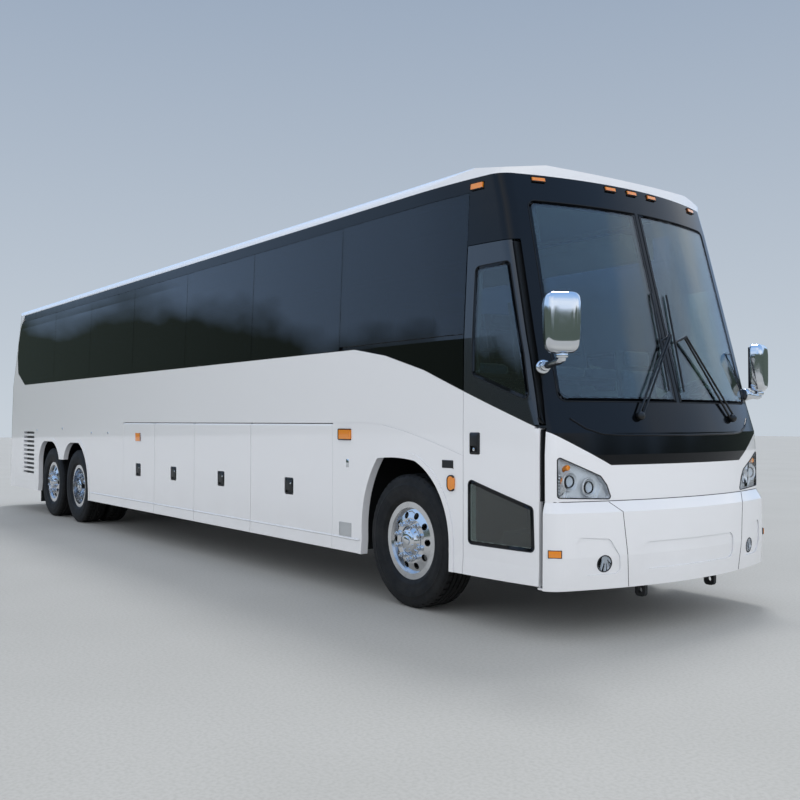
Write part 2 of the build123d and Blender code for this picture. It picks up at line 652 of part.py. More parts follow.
def front_cap(whole, glaze):
    """Black mask round the windscreen, white panel below it, the screen and the headlamps."""
    far = MIRROR_REACH
    rise = MASK_Z + MASK_SLOPE * (far - MASK_HALF)
    edge = [(-far, rise), (-MASK_HALF, MASK_Z), (MASK_HALF, MASK_Z), (far, rise)]
    upper = front_prism(edge + [(far, ROOF_TOP_Z), (-far, ROOF_TOP_Z)])
    lower = front_prism(edge + [(far, SKIRT_Z), (-far, SKIRT_Z)])
    (low_y, low_z), (top_y, top_z) = SCREEN
    screen = [(-low_y, low_z), (low_y, low_z), (top_y, top_z), (-top_y, top_z)]
    post = front_prism(rectangle(-DIVIDER / 2, DIVIDER / 2, 0, ROOF_TOP_Z))
    glass = (glaze & front_prism(screen, radius=SCREEN_CORNER)) - post
    hole = front_prism(grown(screen, -SCREEN_LAP), radius=SCREEN_CORNER)
    hole -= front_prism(rectangle(-DIVIDER, DIVIDER, 0, ROOF_TOP_Z))
    mask = (whole & ahead_of_seam(BUMPER_TOP_Z, ROOF_EDGE_Z)) & upper
    mask = mask - glass - hole
    tab = hinge_tab(TAB_Z, seam_x(TAB_Z) + TAB_HALF) & stack(TAB_ROOM)
    put("front_mask", (mask + tab) - door_pin(FIT))
    put("windscreen", glass)

    lamp = front_prism(HEADLAMP, radius=HEADLAMP_RADIUS)
    cap = (whole & ahead_of_seam(BUMPER_TOP_Z, BELT_Z)) & lower
    put("front_panel", cap - both(lamp))
    return [cap & lamp, cap & flip(lamp)]


def hinge_tab(z, front):
    """The fixed tab that holds a pin of the entrance door."""
    x, y = DOOR_AXIS
    tab = box(x, front, y - TAB_HALF, y + TAB_HALF, z, z + TAB_THICK)
    return tab + rod((x, y, z), (x, y, z + TAB_THICK), TAB_HALF)


def door_pin(extra=0.0):
    """The entrance door's upper and lower pivot pins, on the door's axis."""
    x, y = DOOR_AXIS
    upper = rod((x, y, TAB_Z - PIN_BELOW), (x, y, TAB_Z + PIN_ABOVE), PIN_RADIUS + extra)
    lower = rod((x, y, BUMPER_BOTTOM_Z), (x, y, SKIRT_Z + PIN_INTO_DOOR), PIN_RADIUS + extra)
    return upper + lower


def bumpers(lamps):
    """Front bumper in three parts with its lamp pockets, and the rear bumper."""
    x0 = FRONT_SEAM[0][0]
    solid = stack(0, BUMPER_SECTIONS)
    front = box(x0, FRONT_REACH, -MIRROR_REACH, MIRROR_REACH, 0, BELT_Z)
    shell = (solid - stack(WALL, BUMPER_SECTIONS)) & front
    skin = (solid - stack(CREASE_DEPTH, BUMPER_SECTIONS)) & front
    (top_y, lip_y, low_y) = BUMPER_SPLIT
    over_z = BUMPER_TOP_Z + SEAM
    centre = front_prism([(-low_y, 0), (low_y, 0), (lip_y, BUMPER_LIP_Z), (top_y, over_z),
                          (-top_y, over_z), (-lip_y, BUMPER_LIP_Z)])
    crease_y, crease_z, crease_low = BUMPER_CREASE
    crease = skin & front_prism(rectangle(-crease_y, crease_y, crease_low, crease_z), radius=CREASE_RADIUS)
    put("bumper_centre", (shell & centre) - crease)
    corner = (shell - centre) & box(x0, FRONT_REACH, -MIRROR_REACH, 0, 0, BELT_Z)
    corner -= skin & front_prism(FOG_POCKET, radius=FOG_POCKET_RADIUS)
    fog = extrude(Plane.YZ.offset(x0) * Pos(-FOG_Y, FOG_Z) * Circle(FOG_RADIUS), FRONT_REACH - x0)
    lamp = corner & fog
    corner -= fog
    tab = hinge_tab(BUMPER_BOTTOM_Z, x0 + TAB_HALF)
    put("bumper_corners", (corner + tab) - door_pin(FIT), flip(corner))
    put("front_lamps", *lamps, *both(lamp))

    rear = stack(0, REAR_BUMPER_SECTIONS) - stack(WALL, REAR_BUMPER_SECTIONS)
    put("rear_bumper", rear & box(-REAR_REACH, REAR_SEAM_X, -MIRROR_REACH, MIRROR_REACH, 0, BELT_Z))


def rear_end(whole, glaze):
    """White rear cap with its window and the engine door, hinged along its top edge."""
    x0, x1 = -REAR_REACH, REAR_SEAM_X
    y, z0, z1 = REAR_WINDOW
    pane = rectangle(-y, y, z0, z1)
    window = glaze & front_prism(pane, x0=x0, x1=x1, radius=REAR_WINDOW_RADIUS)
    hole = front_prism(grown(pane, -SCREEN_LAP), x0=x0, x1=x1, radius=REAR_HOLE_RADIUS)
    put("rear_window", window)
    y, z0, z1 = ENGINE_DOOR
    opening = box(x0, x1, -y, y, z0, z1)
    door = whole & box(x0, x1, -y + SEAM, y - SEAM, z0 + SEAM, z1 - SEAM)
    az = z1 - SEAM - ENGINE_HINGE
    ax = -section_at(az)[2] + ENGINE_HINGE
    sharp = box(x0, ax, -y, y, az, z1)
    door -= sharp - rod((ax, -y, az), (ax, y, az), ENGINE_HINGE)
    end = y + BOSS
    door += rod((ax, -end, az), (ax, end, az), PIN_RADIUS)
    cap = whole & box(x0, x1, -MIRROR_REACH, MIRROR_REACH, REAR_BUMPER_TOP_Z, ROOF_EDGE_Z)
    cap = cap - [window, hole, opening, rod((ax, -end - 1, az), (ax, end + 1, az), PIN_RADIUS + FIT)]
    put("rear_cap", cap)
    put("engine_door", door)


def entrance_door(whole, glaze):
    """Outward-swinging entrance door with an upper window and a lower vision pane."""
    gap = DOOR_GAP
    rear = DOOR_REAR_X + SEAM
    front = [(x - gap, z) for x, z in FRONT_SEAM if SKIRT_Z < z < DOOR_TOP_Z]
    shape = [(rear, SKIRT_Z), (FRONT_SEAM[0][0] - gap, SKIRT_Z)] + front
    shape += [(seam_x(DOOR_TOP_Z) - gap, DOOR_TOP_Z), (rear, DOOR_TOP_Z)]
    upper = glaze & side_prism(DOOR_GLASS, radius=PANE_RADIUS)
    low = glaze & side_prism(DOOR_LOW_GLASS, radius=LOW_PANE_RADIUS)
    x, y = DOOR_AXIS
    room = TAB_HALF + TAB_ROOM
    notch = box(x - room, FRONT_SEAM[0][0], -MIRROR_REACH, y + room + DOOR_GAP,
                TAB_Z - TAB_ROOM, TAB_Z + TAB_THICK + TAB_ROOM)
    x0, x1, z0, z1 = DOOR_HANDLE
    pocket = side_prism(rectangle(x0, x1, z0, z1), y0=section_at(z1)[1] - LATCH_DEPTH, radius=POCKET_RADIUS)
    door = whole & side_prism(shape)
    door = door - [upper, low, notch, pocket,
                   side_prism(grown(DOOR_GLASS, -LAP), radius=PANE_HOLE_RADIUS),
                   side_prism(grown(DOOR_LOW_GLASS, -LAP), radius=LOW_HOLE_RADIUS)]
    put("door_panel", door + door_pin())
    put("door_glass", upper, low)


def bay_doors(whole, core):
    """Luggage doors: a thin skin edge over the posts, hinged on pins at the belt."""
    half = section_at(BELT_Z)[1]
    ay = -(half - BAY_HINGE)
    az = BELT_Z - SEAM - BAY_HINGE
    lap = POST_ROOM - BULKHEAD / 2
    latch_w, latch_h, latch_z = LATCH
    for i, (x1, x0) in enumerate(zip(BAY_SPLITS, BAY_SPLITS[1:])):
        a, b = x0 + SEAM / 2, x1 - SEAM / 2
        door = whole & side_prism(rectangle(a, b, SKIRT_Z, BELT_Z - SEAM))
        ends = [core & side_prism(rectangle(x0 - lap, x0 + POST_ROOM, 0, BELT_Z)),
                core & side_prism(rectangle(x1 - POST_ROOM, x1 + lap, 0, BELT_Z))]
        sharp = box(a, b, -MIRROR_REACH, ay, az, BELT_Z) - rod((a, ay, az), (b, ay, az), BAY_HINGE)
        middle = (x0 + x1) / 2
        latch = rectangle(middle - latch_w, middle + latch_w, latch_z - latch_h, latch_z + latch_h)
        pocket = side_prism(latch, y0=half - LATCH_DEPTH, radius=POCKET_RADIUS)
        door -= ends + [sharp, pocket]
        pin = BULKHEAD / 2 - BAY_PIN_GRIP
        door += rod((x0 + pin, ay, az), (x1 - pin, ay, az), BAY_PIN)
        if x0 < DOOR_MARKER[0] < x1:
            x, z, w, h = DOOR_MARKER
            lens = rectangle(x - w / 2, x + w / 2, z - h / 2, z + h / 2)
            door += side_prism(lens, y0=half, y1=half + LAMP_PROUD)
        put(f"bay_door_right_{i + 1}", door)
        put(f"bay_door_left_{i + 1}", flip(door))


def underbody(inner):
    """Luggage bay, floors, wheel housings, rails with their tow eyes, mud flaps and the engine."""
    room = inner & box(REAR_SEAM_X, CAB_FRONT_X, -MIRROR_REACH, MIRROR_REACH, BUMPER_BOTTOM_Z, ROOF_EDGE_Z)
    ay = section_at(BELT_Z)[1] - BAY_HINGE
    az = BELT_Z - SEAM - BAY_HINGE
    h = BULKHEAD / 2
    floor_top = BAY_FLOOR_Z + BAY_FLOOR
    x0, x1 = BAY_SPLITS[-1] - h, BAY_SPLITS[0] + h
    posts = stack(POST_INSET)
    bay = box(x0, x1, -BAY_FLOOR_Y, BAY_FLOOR_Y, BAY_FLOOR_Z, floor_top)
    holes = []
    for x in BAY_SPLITS:
        bay += posts & box(x - h, x + h, -MIRROR_REACH, MIRROR_REACH, floor_top, BELT_Z)
        for y in (-ay, ay):
            for face in (-1, 1):
                depth = h - BAY_PIN_GRIP - 1
                holes.append(rod((x + face * (h + 1), y, az), (x + face * depth, y, az), BAY_PIN + FIT))
            swept = rod((x - h, y, az), (x + h, y, az), hypot(BAY_HINGE, BAY_HINGE) + HINGE_ROOM)
            swept -= rod((x - h, y, az), (x + h, y, az), BAY_HINGE - SKIN - HINGE_ROOM)
            holes.append(swept & box(x - h, x + h, y - POST_ROOM, y + POST_ROOM, az, BELT_Z))
    put("luggage_bay", bay - holes)

    deck_top = BELT_Z + DECK
    riser_x = DECK_FRONT_X + SHEET
    put("deck", room & box(REAR_SEAM_X, DECK_FRONT_X, -MIRROR_REACH, MIRROR_REACH, BELT_Z, deck_top))
    put("deck_riser", room & box(DECK_FRONT_X, riser_x, -MIRROR_REACH, MIRROR_REACH,
                                 RAIL_TOP_Z + CAB_FLOOR, deck_top))
    put("cab_floor", room & box(riser_x, CAB_FRONT_X, STEP_WIDTH_Y, MIRROR_REACH, CAB_Z - CAB_FLOOR, CAB_Z))
    put("entrance_steps", stairs())

    tag_x = -WHEELBASE - TAG_SPACING
    front = housing(room, -HOUSING_HALF, HOUSING_HALF, (0.0,))
    rear = housing(room, tag_x - HOUSING_HALF, -WHEELBASE + REAR_HOUSING, (tag_x, -WHEELBASE))
    put("wheel_housings", *both(front), *both(rear))
    y0, y1 = RAIL_Y - RAIL_W / 2, RAIL_Y + RAIL_W / 2
    rear_rail = box(REAR_SEAM_X, x0, y0, y1, RAIL_BOTTOM_Z, RAIL_TOP_Z)
    rear_rail += jack_pad(JACK_REAR_X, y0, y1)
    front_rail = box(x1, TOW_X + TOW_HALF, y0, y1, RAIL_BOTTOM_Z, RAIL_TOP_Z)
    front_rail += jack_pad(JACK_FRONT_X, y0, y1)
    plate = side_prism(rectangle(TOW_X - TOW_HALF, TOW_X + TOW_HALF, TOW_Z - TOW_HALF, RAIL_TOP_Z),
                       y0=-RAIL_Y - TOW_PLATE / 2, y1=-RAIL_Y + TOW_PLATE / 2, radius=TOW_RADIUS)
    eye = rod((TOW_X, y0, TOW_Z), (TOW_X, y1, TOW_Z), TOW_BORE)
    put("chassis_rails", *both(rear_rail), *both((front_rail + plate) - eye))
    flap_x = tag_x - HOUSING_HALF
    put("mud_flaps", *both(box(flap_x, flap_x + SHEET, *MUD_FLAP)))
    put("engine", box(ENGINE_X[0], ENGINE_X[1], -y0, y0, *ENGINE_Z))


def jack_pad(x, y0, y1):
    """Flat pad under a rail for the head of a workshop jack."""
    return box(x - JACK_HALF, x + JACK_HALF, y0, y1, RAIL_BOTTOM_Z - SHEET, RAIL_BOTTOM_Z)


def housing(room, x0, x1, axle_stations):
    """A wheel housing: an open-bottomed box that meets the deck and lets the axle through."""
    y = HOUSING_INNER_Y
    top = ARCH_TOP_Z + HOUSING_ROOM
    solid = box(x0 - SHEET, x1 + SHEET, -MIRROR_REACH, -y + SHEET, SKIRT_Z + HOUSING_LIP, BELT_Z)
    voids = [box(x0, x1, -MIRROR_REACH, -y, 0, top),
             box(x0, x1, -MIRROR_REACH, -y, top + SHEET, BELT_Z + 1)]
    for x in axle_stations:
        voids.append(box(x - AXLE_SLOT, x + AXLE_SLOT, -y - 1, -y + SHEET + 1, 0, TYRE_RADIUS + AXLE_SLOT))
    return (solid & room) - voids


def stairs():
    """Folded-plate entrance steps that climb inwards from the door to the cab floor."""
    run = (STEP_OUTER_Y + STEP_WIDTH_Y - SHEET) / STEPS
    rise = (CAB_Z - STEP_Z) / STEPS
    tops = []
    backs = []
    for i in range(STEPS):
        y, z = -STEP_OUTER_Y + i * run, STEP_Z + i * rise
        tops += [(y, z), (y + run, z)]
        backs += [(y + (SHEET if i else 0), z - SHEET), (y + run + SHEET, z - SHEET)]
    tops.append((STEP_WIDTH_Y - SHEET, CAB_Z))
    backs.append((STEP_WIDTH_Y, CAB_Z))
    face = Plane.YZ.offset(DECK_FRONT_X + SHEET) * outline(tops + backs[::-1])
    return extrude(face, STEP_LENGTH)


def turned(profile):
    """A ring turned about the wheel's axis, from points of distance along it and radius."""
    return revolve(Plane.YZ * make_face(Polyline(*profile, close=True)), Axis.Y)


def tyre(y_mid):
    """Tyre on its own axis: beads on the rim, bulged sidewalls and rounded shoulders."""
    half = TYRE_WIDTH / 2
    flange = RIM_HALF - FLANGE_WIDTH
    seat = RIM_RADIUS + FLANGE
    points = [(flange - FLANGE_SLOPE, RIM_RADIUS), (flange, seat), (RIM_HALF, seat)]
    points += [(half - inward, radius) for inward, radius in TYRE_SIDE]
    section = [(y_mid - y, r) for y, r in points] + [(y_mid + y, r) for y, r in reversed(points)]
    return turned(section)


def disc_wheel(y_mid, disc_y, bowl):
    """Forged disc wheel: rim with flanges, and a dished disc with its hub and hand holes."""
    flange = RIM_HALF - FLANGE_WIDTH
    top = RIM_RADIUS + FLANGE
    edge = [(RIM_HALF, top), (flange, top), (flange - FLANGE_SLOPE, RIM_RADIUS)]
    rim = [(y_mid - RIM_HALF, RIM_BORE)] + [(y_mid - y, r) for y, r in edge]
    rim += [(y_mid + y, r) for y, r in reversed(edge)] + [(y_mid + RIM_HALF, RIM_BORE)]
    face = disc_y - bowl
    ring = HUB_RADIUS + HUB_FACE
    hub = HUB_RADIUS
    bore = SPINDLE_RADIUS + FIT
    disc = [(disc_y + DISC, RIM_BORE), (face + DISC, ring), (face + DISC, hub), (disc_y + HUB_BACK, hub),
            (disc_y + HUB_BACK, bore), (disc_y - HUB_NOSE, bore), (disc_y - HUB_NOSE, hub - HUB_TIP),
            (disc_y - HUB_NOSE / 2, hub - HUB_SHOULDER), (face, hub), (face, ring), (disc_y, RIM_BORE)]
    wheel = turned(rim) + turned(disc)
    hole = rod((0, disc_y - HUB_NOSE, 0), (0, disc_y + HUB_BACK, 0), HAND_HOLE_RADIUS)
    holes = []
    for i in range(HAND_HOLES):
        turn = 2 * pi * (i + 0.5) / HAND_HOLES
        holes.append(Pos(HAND_HOLE_CIRCLE * sin(turn), 0, HAND_HOLE_CIRCLE * cos(turn)) * hole)
    return wheel - holes


def inner_rim(y):
    """The inner rim of a pair of twins, joined to the outer one by its own barrel."""
    edge = RIM_HALF - FLANGE_WIDTH
    slope = edge - FLANGE_SLOPE
    top = RIM_RADIUS + FLANGE
    return turned([(-TRACK_Y + edge, RIM_BORE), (-TRACK_Y + RIM_HALF, RIM_RADIUS),
                   (y - RIM_HALF, RIM_RADIUS), (y - RIM_HALF, top), (y - edge, top), (y - slope, RIM_RADIUS),
                   (y + slope, RIM_RADIUS), (y + edge, top), (y + RIM_HALF, top), (y + RIM_HALF, RIM_BORE)])


def wheels():
    """Three axles of wheels; the drive wheels are twins that share a hub."""
    rows = (
        # name, station, twin, disc's distance in from the tyre's outer face, how far it bulges
        ("front", 0.0, False, 62.0, 26.0),
        ("drive", -WHEELBASE, True, 170.0, 0.0),
        ("tag", -WHEELBASE - TAG_SPACING, False, 62.0, 26.0),
    )
    for name, x, twin, depth, bowl in rows:
        at = Pos(x, 0, TYRE_RADIUS)
        rubber = [at * tyre(-TRACK_Y)]
        metal = disc_wheel(-TRACK_Y, -TYRE_OUTER_Y + depth, bowl)
        if twin:
            inner_y = -TRACK_Y + DUAL_SPACING
            rubber.append(at * tyre(inner_y))
            metal += inner_rim(inner_y)
        metal = at * metal
        put(f"tyre_{name}_right", *rubber)
        put(f"tyre_{name}_left", *[flip(t) for t in rubber])
        put(f"wheel_{name}_right", metal)
        put(f"wheel_{name}_left", flip(metal))


def axles():
    """Front beam with kingpins and knuckles, drive axle with its bowl, and the tag axle."""
    z = TYRE_RADIUS
    beam_z = z - BEAM_DROP
    knee_y = -RAIL_Y - BEAM_KNEE
    pin = KINGPIN_Y
    half = rod((0, -pin, z - KNUCKLE_HALF), (0, -pin, z + KNUCKLE_HALF), KINGPIN_RADIUS)
    half += rod((0, -pin, z - BOSS_HALF), (0, -pin, z + BOSS_HALF), BOSS_RADIUS)
    half += rod((0, -pin, z - BEAM_END), (0, knee_y, beam_z), BEAM_RADIUS)
    half += rod((0, knee_y, beam_z), (0, 0, beam_z), BEAM_RADIUS)
    half += Pos(0, knee_y, beam_z) * Sphere(BEAM_RADIUS)
    half += rod((0, -RAIL_Y, beam_z), (0, -RAIL_Y, RAIL_BOTTOM_Z), BELLOW_RADIUS)
    put("front_axle", half + flip(half))

    ear = BOSS_HALF + EAR_GAP
    back = pin + KNUCKLE_EYE
    fork = box(-KNUCKLE_PLATE_HALF, KNUCKLE_PLATE_HALF, -back - KNUCKLE_PLATE, -back,
               z - KNUCKLE_HALF, z + KNUCKLE_HALF)
    for z0, z1 in ((z - KNUCKLE_HALF, z - ear), (z + ear, z + KNUCKLE_HALF)):
        fork += rod((0, -pin, z0), (0, -pin, z1), KNUCKLE_EYE)
        fork += box(-KNUCKLE_ARM_HALF, KNUCKLE_ARM_HALF, -back - 1, -pin, z0, z1)
    fork += rod((0, -back, z), (0, -TYRE_OUTER_Y + SPINDLE_SHORT, z), SPINDLE_RADIUS)
    fork -= rod((0, -pin, 0), (0, -pin, 2 * z), KINGPIN_RADIUS + FIT)
    put("knuckle_right", fork)
    put("knuckle_left", flip(fork))

    rear = []
    for x, bowl in ((-WHEELBASE, DRIVE_BOWL), (-WHEELBASE - TAG_SPACING, TUBE_RADIUS)):
        tube = rod((x, -HOUSING_INNER_Y + SHEET, z), (x, 0, z), TUBE_RADIUS)
        tube += rod((x, -TYRE_OUTER_Y + SPINDLE_SHORT, z), (x, -HOUSING_INNER_Y + SHEET, z),
                    SPINDLE_RADIUS)
        tube += rod((x, -RAIL_Y, z), (x, -RAIL_Y, RAIL_BOTTOM_Z), BELLOW_RADIUS)
        tube += Pos(x, 0, z) * Sphere(bowl)
        rear.append(tube + flip(tube))
    put("rear_axles", *rear)


def chair(profile, front_x, floor, side_y, width):
    """A seat: its side outline run across, from the given front station back."""
    points = [(front_x - back, floor + up) for back, up in profile]
    return extrude(Plane.XZ.offset(side_y) * outline(points), width)


def interior(inner):
    """Rows of paired seats, parcel racks, the driver's seat, dashboard and steering wheel."""
    floor = BELT_Z + DECK
    rows = []
    for i in range(SEAT_ROWS):
        rows += both(chair(SEAT_PROFILE, SEAT_FIRST_X - i * SEAT_PITCH, floor, SEAT_AISLE_Y, SEAT_WIDTH))
    rows.append(chair(DRIVER_PROFILE, DRIVER_X, CAB_Z, -DRIVER_Y - DRIVER_SEAT_WIDTH / 2, DRIVER_SEAT_WIDTH))
    put("seats", *rows)
    rack = front_prism(RACK, x0=RACK_X[0], x1=RACK_X[1]) & inner
    put("parcel_racks", *both(rack))

    hub = Vector(*STEERING_HUB)
    tilt = Vector(-sin(radians(STEERING_TILT)), 0, cos(radians(STEERING_TILT)))
    plane = Plane(origin=hub, z_dir=tilt)
    spoke = 2 * STEERING_RADIUS - STEERING_RIM
    wheel = plane * Torus(STEERING_RADIUS, STEERING_RIM)
    wheel += plane * Box(spoke, 3 * STEERING_RIM, STEERING_RIM)
    wheel += plane * Box(3 * STEERING_RIM, spoke, STEERING_RIM)
    wheel += rod(hub, hub - tilt * COLUMN_LENGTH, COLUMN_RADIUS)
    dash = inner & side_prism(DASH, y0=-DASH_LEFT_Y, y1=DASH_RIGHT_Y)
    put("dashboard", dash + wheel)


def lamps_and_grilles(outer):
    """Marker and tail lamps that stand on the skin, and the backs of the side grilles."""
    proud = stack(-LAMP_PROUD) - outer
    markers = []
    w, h = FRONT_MARKER
    for y in FRONT_MARKERS:
        lens = rectangle(y - w / 2, y + w / 2, FRONT_MARKER_Z - h / 2, FRONT_MARKER_Z + h / 2)
        markers.append(proud & front_prism(lens))
    for x, z, w, h, r in SIDE_MARKERS:
        lens = rectangle(x - w / 2, x + w / 2, z - h / 2, z + h / 2)
        markers += both(proud & side_prism(lens, radius=r))
    put("marker_lamps", *markers)
    tails = []
    for y, z, r in TAIL_LAMPS:
        lens = extrude(Plane.YZ.offset(-REAR_REACH - LAMP_PROUD) * Pos(-y, z) * Circle(r), LAMP_RUN)
        tails += both(proud & lens)
    put("tail_lamps", *tails)
    edge = LOUVRE_PITCH - LOUVRE_HEIGHT
    top = LOUVRE_Z + LOUVRES * LOUVRE_PITCH
    area = rectangle(LOUVRE_X[0] - edge, LOUVRE_X[1] + edge, LOUVRE_Z - edge, top)
    y = section_at(top)[1] - WALL
    put("grille_backs", *both(side_prism(area, y0=y - SHEET, y1=y)))


def wipers(outer):
    """Twin-rod wiper arms that carry upright blades near the screen's divider."""
    arms = []
    for pivot, tip, low, high in WIPERS:
        root = on_front(*pivot, ARM_OFF / 2)
        end = on_front(*tip, ARM_OFF)
        foot, head = on_front(*low, BLADE_OFF), on_front(*high, BLADE_OFF)
        middle = tuple((a + b) / 2 for a, b in zip(foot, head))
        arm = rod(foot, middle, WIPER_ROD) + rod(head, middle, WIPER_ROD) + rod(end, middle, WIPER_ROD)
        arm += Pos(*middle) * Sphere(WIPER_ROD) + Pos(*root) * Sphere(WIPER_PIVOT)
        side = (Vector(*end) - Vector(*root)).cross(Vector(1, 0, 0)).normalized() * WIPER_RODS
        for s in (-1, 1):
            arm += rod(Vector(*root) + side * s, Vector(*end) + side * s * 0.5, WIPER_ROD)
        arm += rod(Vector(*end) - side * 0.5, Vector(*end) + side * 0.5, WIPER_ROD)
        arms.append(arm - outer)
    put("wipers", *arms)


def mirrors(outer):
    """Mirror heads on bent arms from the windscreen pillars."""
    heads = []
    for root_y, root_z, foremost, z, yaw, side in MIRRORS:
        shell = Rot(0, 0, yaw) * fillet(Box(MIRROR_D, MIRROR_W, MIRROR_H).edges(), MIRROR_EDGE)
        reach = shell.bounding_box().max
        centre = Vector(foremost - reach.X, side * (MIRROR_REACH - reach.Y), z)
        foot = centre - Vector(0, 0, MIRROR_H / 2 + MIRROR_DROP)
        root = on_front(side * root_y, root_z)
        arm = rod(root, foot, MIRROR_ARM) + rod(foot, centre, MIRROR_ARM)
        arm += Pos(*foot) * Sphere(MIRROR_ARM) + Pos(*root) * Sphere(2 * MIRROR_ARM)
        heads.append((arm - outer) + Pos(*centre) * shell)
    put("mirrors", *heads)


def main():
    outer = stack(0)
    glass_in = stack(GLASS)
    inner = stack(WALL)
    shell, pane, lining = outer - inner, outer - glass_in, glass_in - inner
    side = box(-REAR_REACH, FRONT_REACH, -MIRROR_REACH, -SIDE_FROM_Y, 0, ROOF_TOP_Z)
    front = box(FRONT_FROM_X, FRONT_REACH, -MIRROR_REACH, MIRROR_REACH, 0, ROOF_TOP_Z)
    rear = box(-REAR_REACH, REAR_SEAM_X, -MIRROR_REACH, MIRROR_REACH, 0, ROOF_TOP_Z)
    side_wall = shell & side
    body_panels(side_wall, (stack(-FLARE_PROUD) & side) - outer)
    put("roof_cap", crown(0) - crown(WALL))
    glazing(side_wall, pane & side, lining & side)
    lamps = front_cap(shell & front, pane & front)
    bumpers(lamps)
    rear_end(shell & rear, pane & rear)
    entrance_door(side_wall, pane & side)
    bay_doors(side_wall, (stack(SKIN) - inner) & side)
    underbody(inner)
    wheels()
    axles()
    interior(inner)
    lamps_and_grilles(outer)
    wipers(outer)
    mirrors(outer)
    os.makedirs("parts", exist_ok=True)
    for name, shape in nodes.items():
        export_step(shape, f"parts/{name}.step")


main()
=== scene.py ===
"""Highway coach: finishes, trim and stage over its fixed frame. Metres, +X forwards, +Z up."""

import json
from contextlib import contextmanager
from math import atan2, hypot, pi, radians

import bmesh
import bpy
from bpy.props import (FloatProperty, FloatVectorProperty, IntProperty, PointerProperty,
                       StringProperty)
from mathutils import Matrix, Vector


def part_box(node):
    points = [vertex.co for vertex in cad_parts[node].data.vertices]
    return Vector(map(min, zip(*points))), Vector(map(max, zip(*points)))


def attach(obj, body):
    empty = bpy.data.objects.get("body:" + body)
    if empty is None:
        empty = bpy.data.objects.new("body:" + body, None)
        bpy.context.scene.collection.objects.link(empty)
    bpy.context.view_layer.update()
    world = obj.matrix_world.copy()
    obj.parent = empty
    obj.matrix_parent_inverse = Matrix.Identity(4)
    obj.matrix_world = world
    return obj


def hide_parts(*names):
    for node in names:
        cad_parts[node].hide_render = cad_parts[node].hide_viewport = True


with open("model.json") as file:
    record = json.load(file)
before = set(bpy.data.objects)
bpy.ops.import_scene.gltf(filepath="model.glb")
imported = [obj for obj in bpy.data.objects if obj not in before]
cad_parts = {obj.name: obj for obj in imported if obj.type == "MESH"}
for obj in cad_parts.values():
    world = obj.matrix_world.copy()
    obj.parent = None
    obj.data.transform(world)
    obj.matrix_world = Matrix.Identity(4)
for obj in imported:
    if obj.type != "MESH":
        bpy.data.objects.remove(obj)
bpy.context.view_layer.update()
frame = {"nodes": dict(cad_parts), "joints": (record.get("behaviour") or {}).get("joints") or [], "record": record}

bl_info = {
    "name": "Highway Coach",
    "version": (1, 0, 0),
    "blender": (4, 5, 0),
    "location": "View3D > Sidebar > Coach",
    "description": "Finishes and trim for a three-axle highway coach",
    "category": "Object",
}

MM = 0.001
JOINTS = {joint["name"]: joint for joint in frame["joints"]}
FRONT_AXLE_X = JOINTS["front_wheel_right"]["pos_m"][0]
RIGHT, LEFT = -1, 1
SIDES = (("right", RIGHT), ("left", LEFT))
AXLES = ("front", "drive", "tag")
FACING = 0.9             # a face whose normal has this share along an axis looks that way
ON_AXLE = Vector((FRONT_AXLE_X, 0, 0))
# the entrance door's black above its white: fall of the line, and its height at a station
WAIST_FALL = 0.3728
WAIST_AT = (FRONT_AXLE_X + 0.260, 1.876)
# station from the front axle and height of each small panel lock
LOCKS = ((-6.666, 1.318), (-7.328, 1.312), (-8.626, 1.366), (-9.931, 1.327))

# Measures in metres; profiles are (radius, outward) points about an axle or a lamp's middle

TYRE_SIDE = ((0.292, 0.094), (0.308, 0.102), (0.309, 0.117), (0.322, 0.128), (0.333, 0.1335),
             (0.338, 0.1375), (0.352, 0.141), (0.356, 0.1405), (0.385, 0.1475), (0.410, None),
             (0.436, 0.1475), (0.438, 0.1488), (0.446, 0.1478), (0.448, 0.1462), (0.470, 0.1435),
             (0.492, 0.1400), (0.506, 0.1345), (0.518, 0.1265))   # None: half the tyre's width
SHOULDER = (0.506, 0.518)
GROOVES = (0.068, 0.024)     # middles of the grooves on each side of the tread's middle
SHOULDER_NOTCH = 0.0035      # depth of a notch in the shoulder
NOTCH_SHARE = 0.55           # depth of a notch in the tread, as a share of the grooves'
TREAD_BAND = 0.003           # faces this near the tyre's radius are the tread's
BLOCKS_FROM, RIBS_FROM = 0.03, 0.075   # where the notches begin, on drive and on other tyres
HUB_COVER = ((0.0, -0.016), (0.030, -0.0155), (0.036, -0.013), (0.037, -0.006), (0.060, -0.005),
             (0.064, -0.003), (0.084, 0.000), (0.0885, 0.003), (0.0885, 0.010))
HUB_BOLTS, HUB_BOLT_CIRCLE = 8, 0.073
VALVE_CIRCLE = 0.232
DISC_RING = ((0.1195, -0.004), (0.122, -0.007), (0.126, -0.007), (0.1285, -0.002), (0.1285, 0.002))
LOCK_RIM = ((0.0, -0.003), (0.009, -0.003), (0.010, -0.0045), (0.017, -0.004), (0.020, 0.0),
            (0.020, 0.002))
# lamps: radius as a share of the lamp's, and metres forwards (the bowl) or backwards
BOWL = ((0.0, -0.014), (0.55, -0.013), (0.80, -0.009), (0.95, -0.002), (1.0, 0.006), (1.06, 0.009),
        (1.10, 0.004), (1.10, -0.004))
PROJECTOR = ((0.62, 0.018), (0.64, -0.004), (0.68, -0.007), (0.72, -0.003), (0.72, 0.018))
BULB_LENS = ((0.61, 0.008), (0.54, 0.000), (0.38, -0.008), (0.20, -0.012), (0.0, -0.0135))
